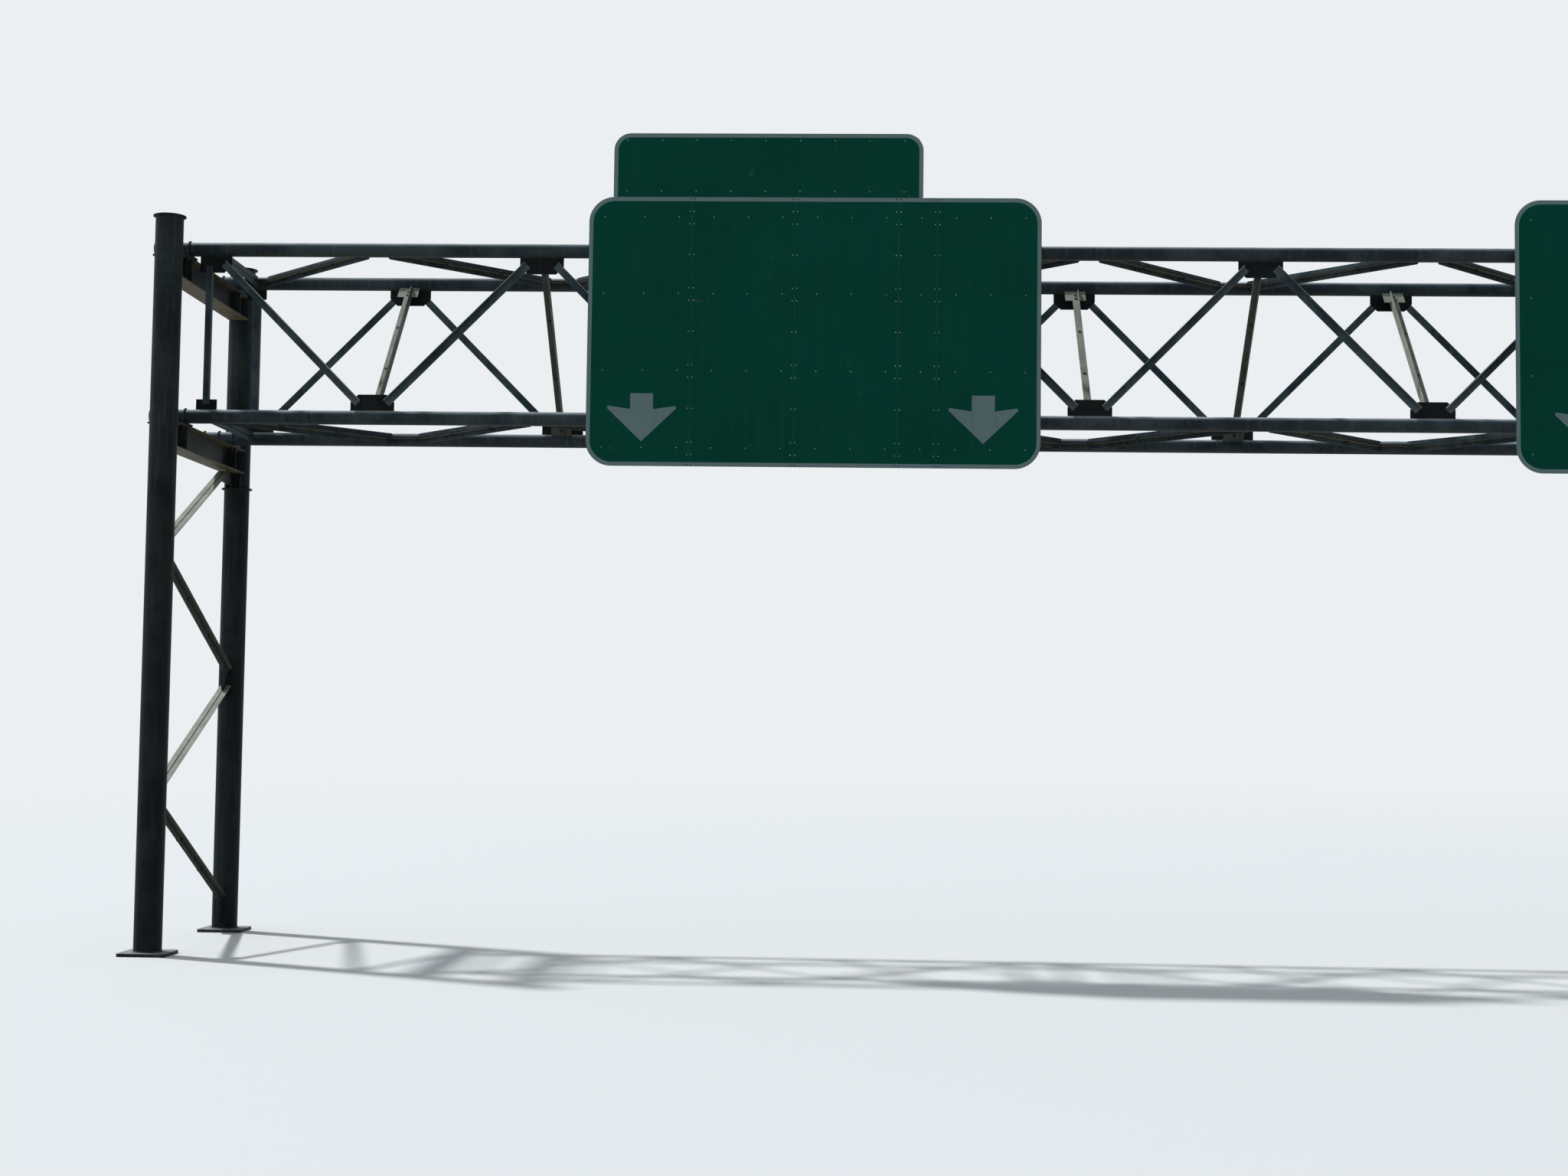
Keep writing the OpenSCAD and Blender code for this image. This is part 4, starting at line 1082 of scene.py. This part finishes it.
def ring_path(center, radius, axis):
    """A closed ring of points about the X or the Z axis."""
    points = []
    for i in range(RING_STEPS + 1):
        turn = 2 * math.pi * i / RING_STEPS
        a = radius * math.cos(turn)
        b = radius * math.sin(turn)
        points.append(center + (Vector((a, b, 0)) if axis == "z" else Vector((0, a, b))))
    return points


def flange_welds():
    gap = FLANGE_T + SEAT + RING_OFF
    return [ring_path(Vector((end * SPLICE_X + away * gap, side * SIDE_Y, level)), CHORD_R + RING_OFF, "x")
            for end, side, level in CHORD_SPOTS for away in (-1, 1)]


def post_welds():
    """Beads round the posts at their bases and caps, and where the beams meet the posts."""
    paths = []
    steps = [-BEAM_WIDTH / 2 + BEAM_WIDTH * i / FLANGE_BEAD_STEPS for i in range(FLANGE_BEAD_STEPS + 1)]
    for end in (-1, 1):
        for side in (-1, 1):
            foot = Vector((end * TOWER_X, side * POST_Y, 0))
            paths.append(ring_path(foot + UP * (BASE_T + BASE_RING_OFF), POST_R + BASE_RING_OFF, "z"))
            paths.append(ring_path(foot + UP * (CAP_LOW - RING_OFF), POST_R + RING_OFF, "z"))
            for level in (LOW, TOP):
                under_flange = level - BEAM_DROP - BEAM_FLANGE_T
                over_flange = level - BEAM_DROP - BEAM_DEPTH + BEAM_FLANGE_T
                for z in (under_flange - BEAD_OFF, over_flange + BEAD_OFF):
                    paths.append([foot + Vector((x, -side * (math.sqrt(POST_R ** 2 - x ** 2) + EDGE_OFF), z))
                                  for x in steps])
                for face in (-1, 1):
                    corner = foot + Vector((face * (BEAM_WEB_T / 2 + BEAD_OFF), -side * POST_R, 0))
                    paths.append([corner + UP * over_flange, corner + UP * under_flange])
    return paths


def tower_gusset_welds():
    """Upright beads beside the brace gussets, and a ring under the bracket of each bottom beam."""
    paths = []
    under_beam = LOW - BEAM_DROP - BEAM_DEPTH
    for end in (-1, 1):
        for i in range(BRACES + 1):
            side = 1 if i % 2 == 0 else -1
            level = BRACE_FOOT + i * BRACE_RISE
            low = max(level - TOWER_PLATE_H / 2, BASE_T)
            high = level + TOWER_PLATE_H / 2
            if i == BRACES:
                low = under_beam - BRACKET_DEPTH + BRACKET_T
                high = under_beam
            for face in (-1, 1):
                x = end * TOWER_X + face * (TOWER_PLATE_T / 2 + BEAD_OFF)
                y = side * (POST_Y - POST_R)
                paths.append([(x, y, low), (x, y, high)])
        ring = Vector((end * TOWER_X, POST_Y, under_beam - BRACKET_DEPTH - RING_OFF))
        paths.append(ring_path(ring, POST_R + RING_OFF, "z"))
    return paths


weld("gusset_welds", gusset_welds(), 0.006)
weld("web_bar_welds", web_bar_welds(), 0.005)
weld("flange_welds", flange_welds(), 0.007)
weld("post_welds", post_welds(), 0.008)
weld("tower_gusset_welds", tower_gusset_welds(), 0.007)


# Fillers in the gap of the double angles at their stitch bolts

FILLER_HALF = 0.030
CORNERS = ((-1, -1), (1, -1), (1, 1), (-1, 1))
BLOCK_FACES = ((0, 1, 2, 3), (4, 5, 6, 7), (0, 1, 5, 4), (1, 2, 6, 5), (2, 3, 7, 6), (3, 0, 4, 7))
filler_points = []
filler_faces = []
for _, bars, insets, _, half_grip, half_gap in DOUBLE_ANGLES:
    for bar in bars:
        start, end, axis, _ = bar
        along = (end - start).normalized() * FILLER_HALF
        across = axis.cross(along)
        for point, _ in bar_bolts(*bar, insets, half_grip)[-2:]:
            center = point - axis * half_grip
            filler_faces += [[len(filler_points) + corner for corner in face] for face in BLOCK_FACES]
            filler_points += [center + axis * lift + along * a + across * b
                              for lift in (-half_gap, half_gap) for a, b in CORNERS]
plain_piece("stitch_fillers", filler_points, filler_faces, SHADED_PLATE)


# Camera, floor and lights

def add_camera():
    """The camera at the photograph's place, from its yaw, pitch and roll."""
    data = bpy.data.cameras.new("camera")
    data.sensor_fit = "HORIZONTAL"
    data.sensor_width = SENSOR_W
    data.lens = FOCAL_PX / IMAGE_W * SENSOR_W
    data.clip_end = 600
    view = Matrix.Translation(CAMERA_PLACE)
    for angle, axis in ((-CAMERA_YAW, "Z"), (math.pi / 2 + CAMERA_PITCH, "X"), (CAMERA_ROLL, "Z")):
        view = view @ Matrix.Rotation(angle, 4, axis)
    camera = add_object("camera", data)
    camera.matrix_world = view
    bpy.context.scene.camera = camera


BACKDROP = color(236, 239, 241)
FLOOR_BOUNCE = color(152, 145, 128)
FLOOR_SEEN = color(196, 199, 201)
FLOOR_HALF = 260
FLOOR_FADE = (26, 95)
SKY = (0.90, 0.96, 1.0, 1)
SKY_ACROSS = (-0.85, 0.75)
SKY_STRENGTH = (1.0, 0.08)
KEY_ENERGY = 3.4
KEY_ANGLE = math.radians(3)
KEY_TURN = (math.radians(-14), math.radians(-30), 0)


def add_floor():
    """A plain pale floor that fades into the backdrop far behind the object."""
    mesh = bpy.data.meshes.new("floor")
    mesh.from_pydata([(x * FLOOR_HALF, y * FLOOR_HALF, 0) for x, y in CORNERS], [], [(0, 1, 2, 3)])
    floor = add_object("floor", mesh)
    material, wires, shader = new_material("floor")
    path = wires.add("ShaderNodeLightPath").outputs
    seen = wires.math("MAXIMUM", path["Is Camera Ray"], path["Is Glossy Ray"])
    wires.feed(shader.inputs["Base Color"], wires.blend(seen, FLOOR_BOUNCE, FLOOR_SEEN))
    shader.inputs["Roughness"].default_value = 0.9
    glow = wires.add("ShaderNodeEmission", {"Color": BACKDROP, "Strength": 1.0})
    distance = wires.add("ShaderNodeVectorMath", {0: wires.place()}, operation="LENGTH").outputs["Value"]
    share = wires.times(wires.spread(distance, *FLOOR_FADE), path["Is Camera Ray"])
    mix = wires.add("ShaderNodeMixShader", {0: share, 1: shader.outputs[0], 2: glow.outputs[0]})
    wires.feed(material.node_tree.nodes["Material Output"].inputs["Surface"], mix.outputs[0])
    mesh.materials.append(material)


def add_lights():
    """Soft light from the whole sky, stronger from the left, and a key from above, behind and left."""
    world = bpy.data.worlds.new("studio")
    bpy.context.scene.world = world
    world.use_nodes = True
    wires = Wires(world.node_tree)
    sky = world.node_tree.nodes["Background"]
    sky.inputs["Color"].default_value = SKY
    across = wires.axes(wires.add("ShaderNodeTexCoord").outputs["Generated"])["X"]
    wires.feed(sky.inputs["Strength"], wires.spread(across, *SKY_ACROSS, *SKY_STRENGTH))
    card = wires.add("ShaderNodeBackground", {"Color": BACKDROP, "Strength": 1.0})
    path = wires.add("ShaderNodeLightPath").outputs
    seen = wires.math("MAXIMUM", path["Is Camera Ray"], path["Is Glossy Ray"])
    seen = wires.math("MAXIMUM", seen, path["Is Transmission Ray"])
    mix = wires.add("ShaderNodeMixShader", {0: seen, 1: sky.outputs[0], 2: card.outputs[0]})
    wires.feed(world.node_tree.nodes["World Output"].inputs["Surface"], mix.outputs[0])
    key = bpy.data.lights.new("key", "SUN")
    key.energy = KEY_ENERGY
    key.angle = KEY_ANGLE
    add_object("key", key).rotation_euler = KEY_TURN


add_camera()
add_floor()
add_lights()
bpy.context.scene.view_settings.view_transform = "Standard"
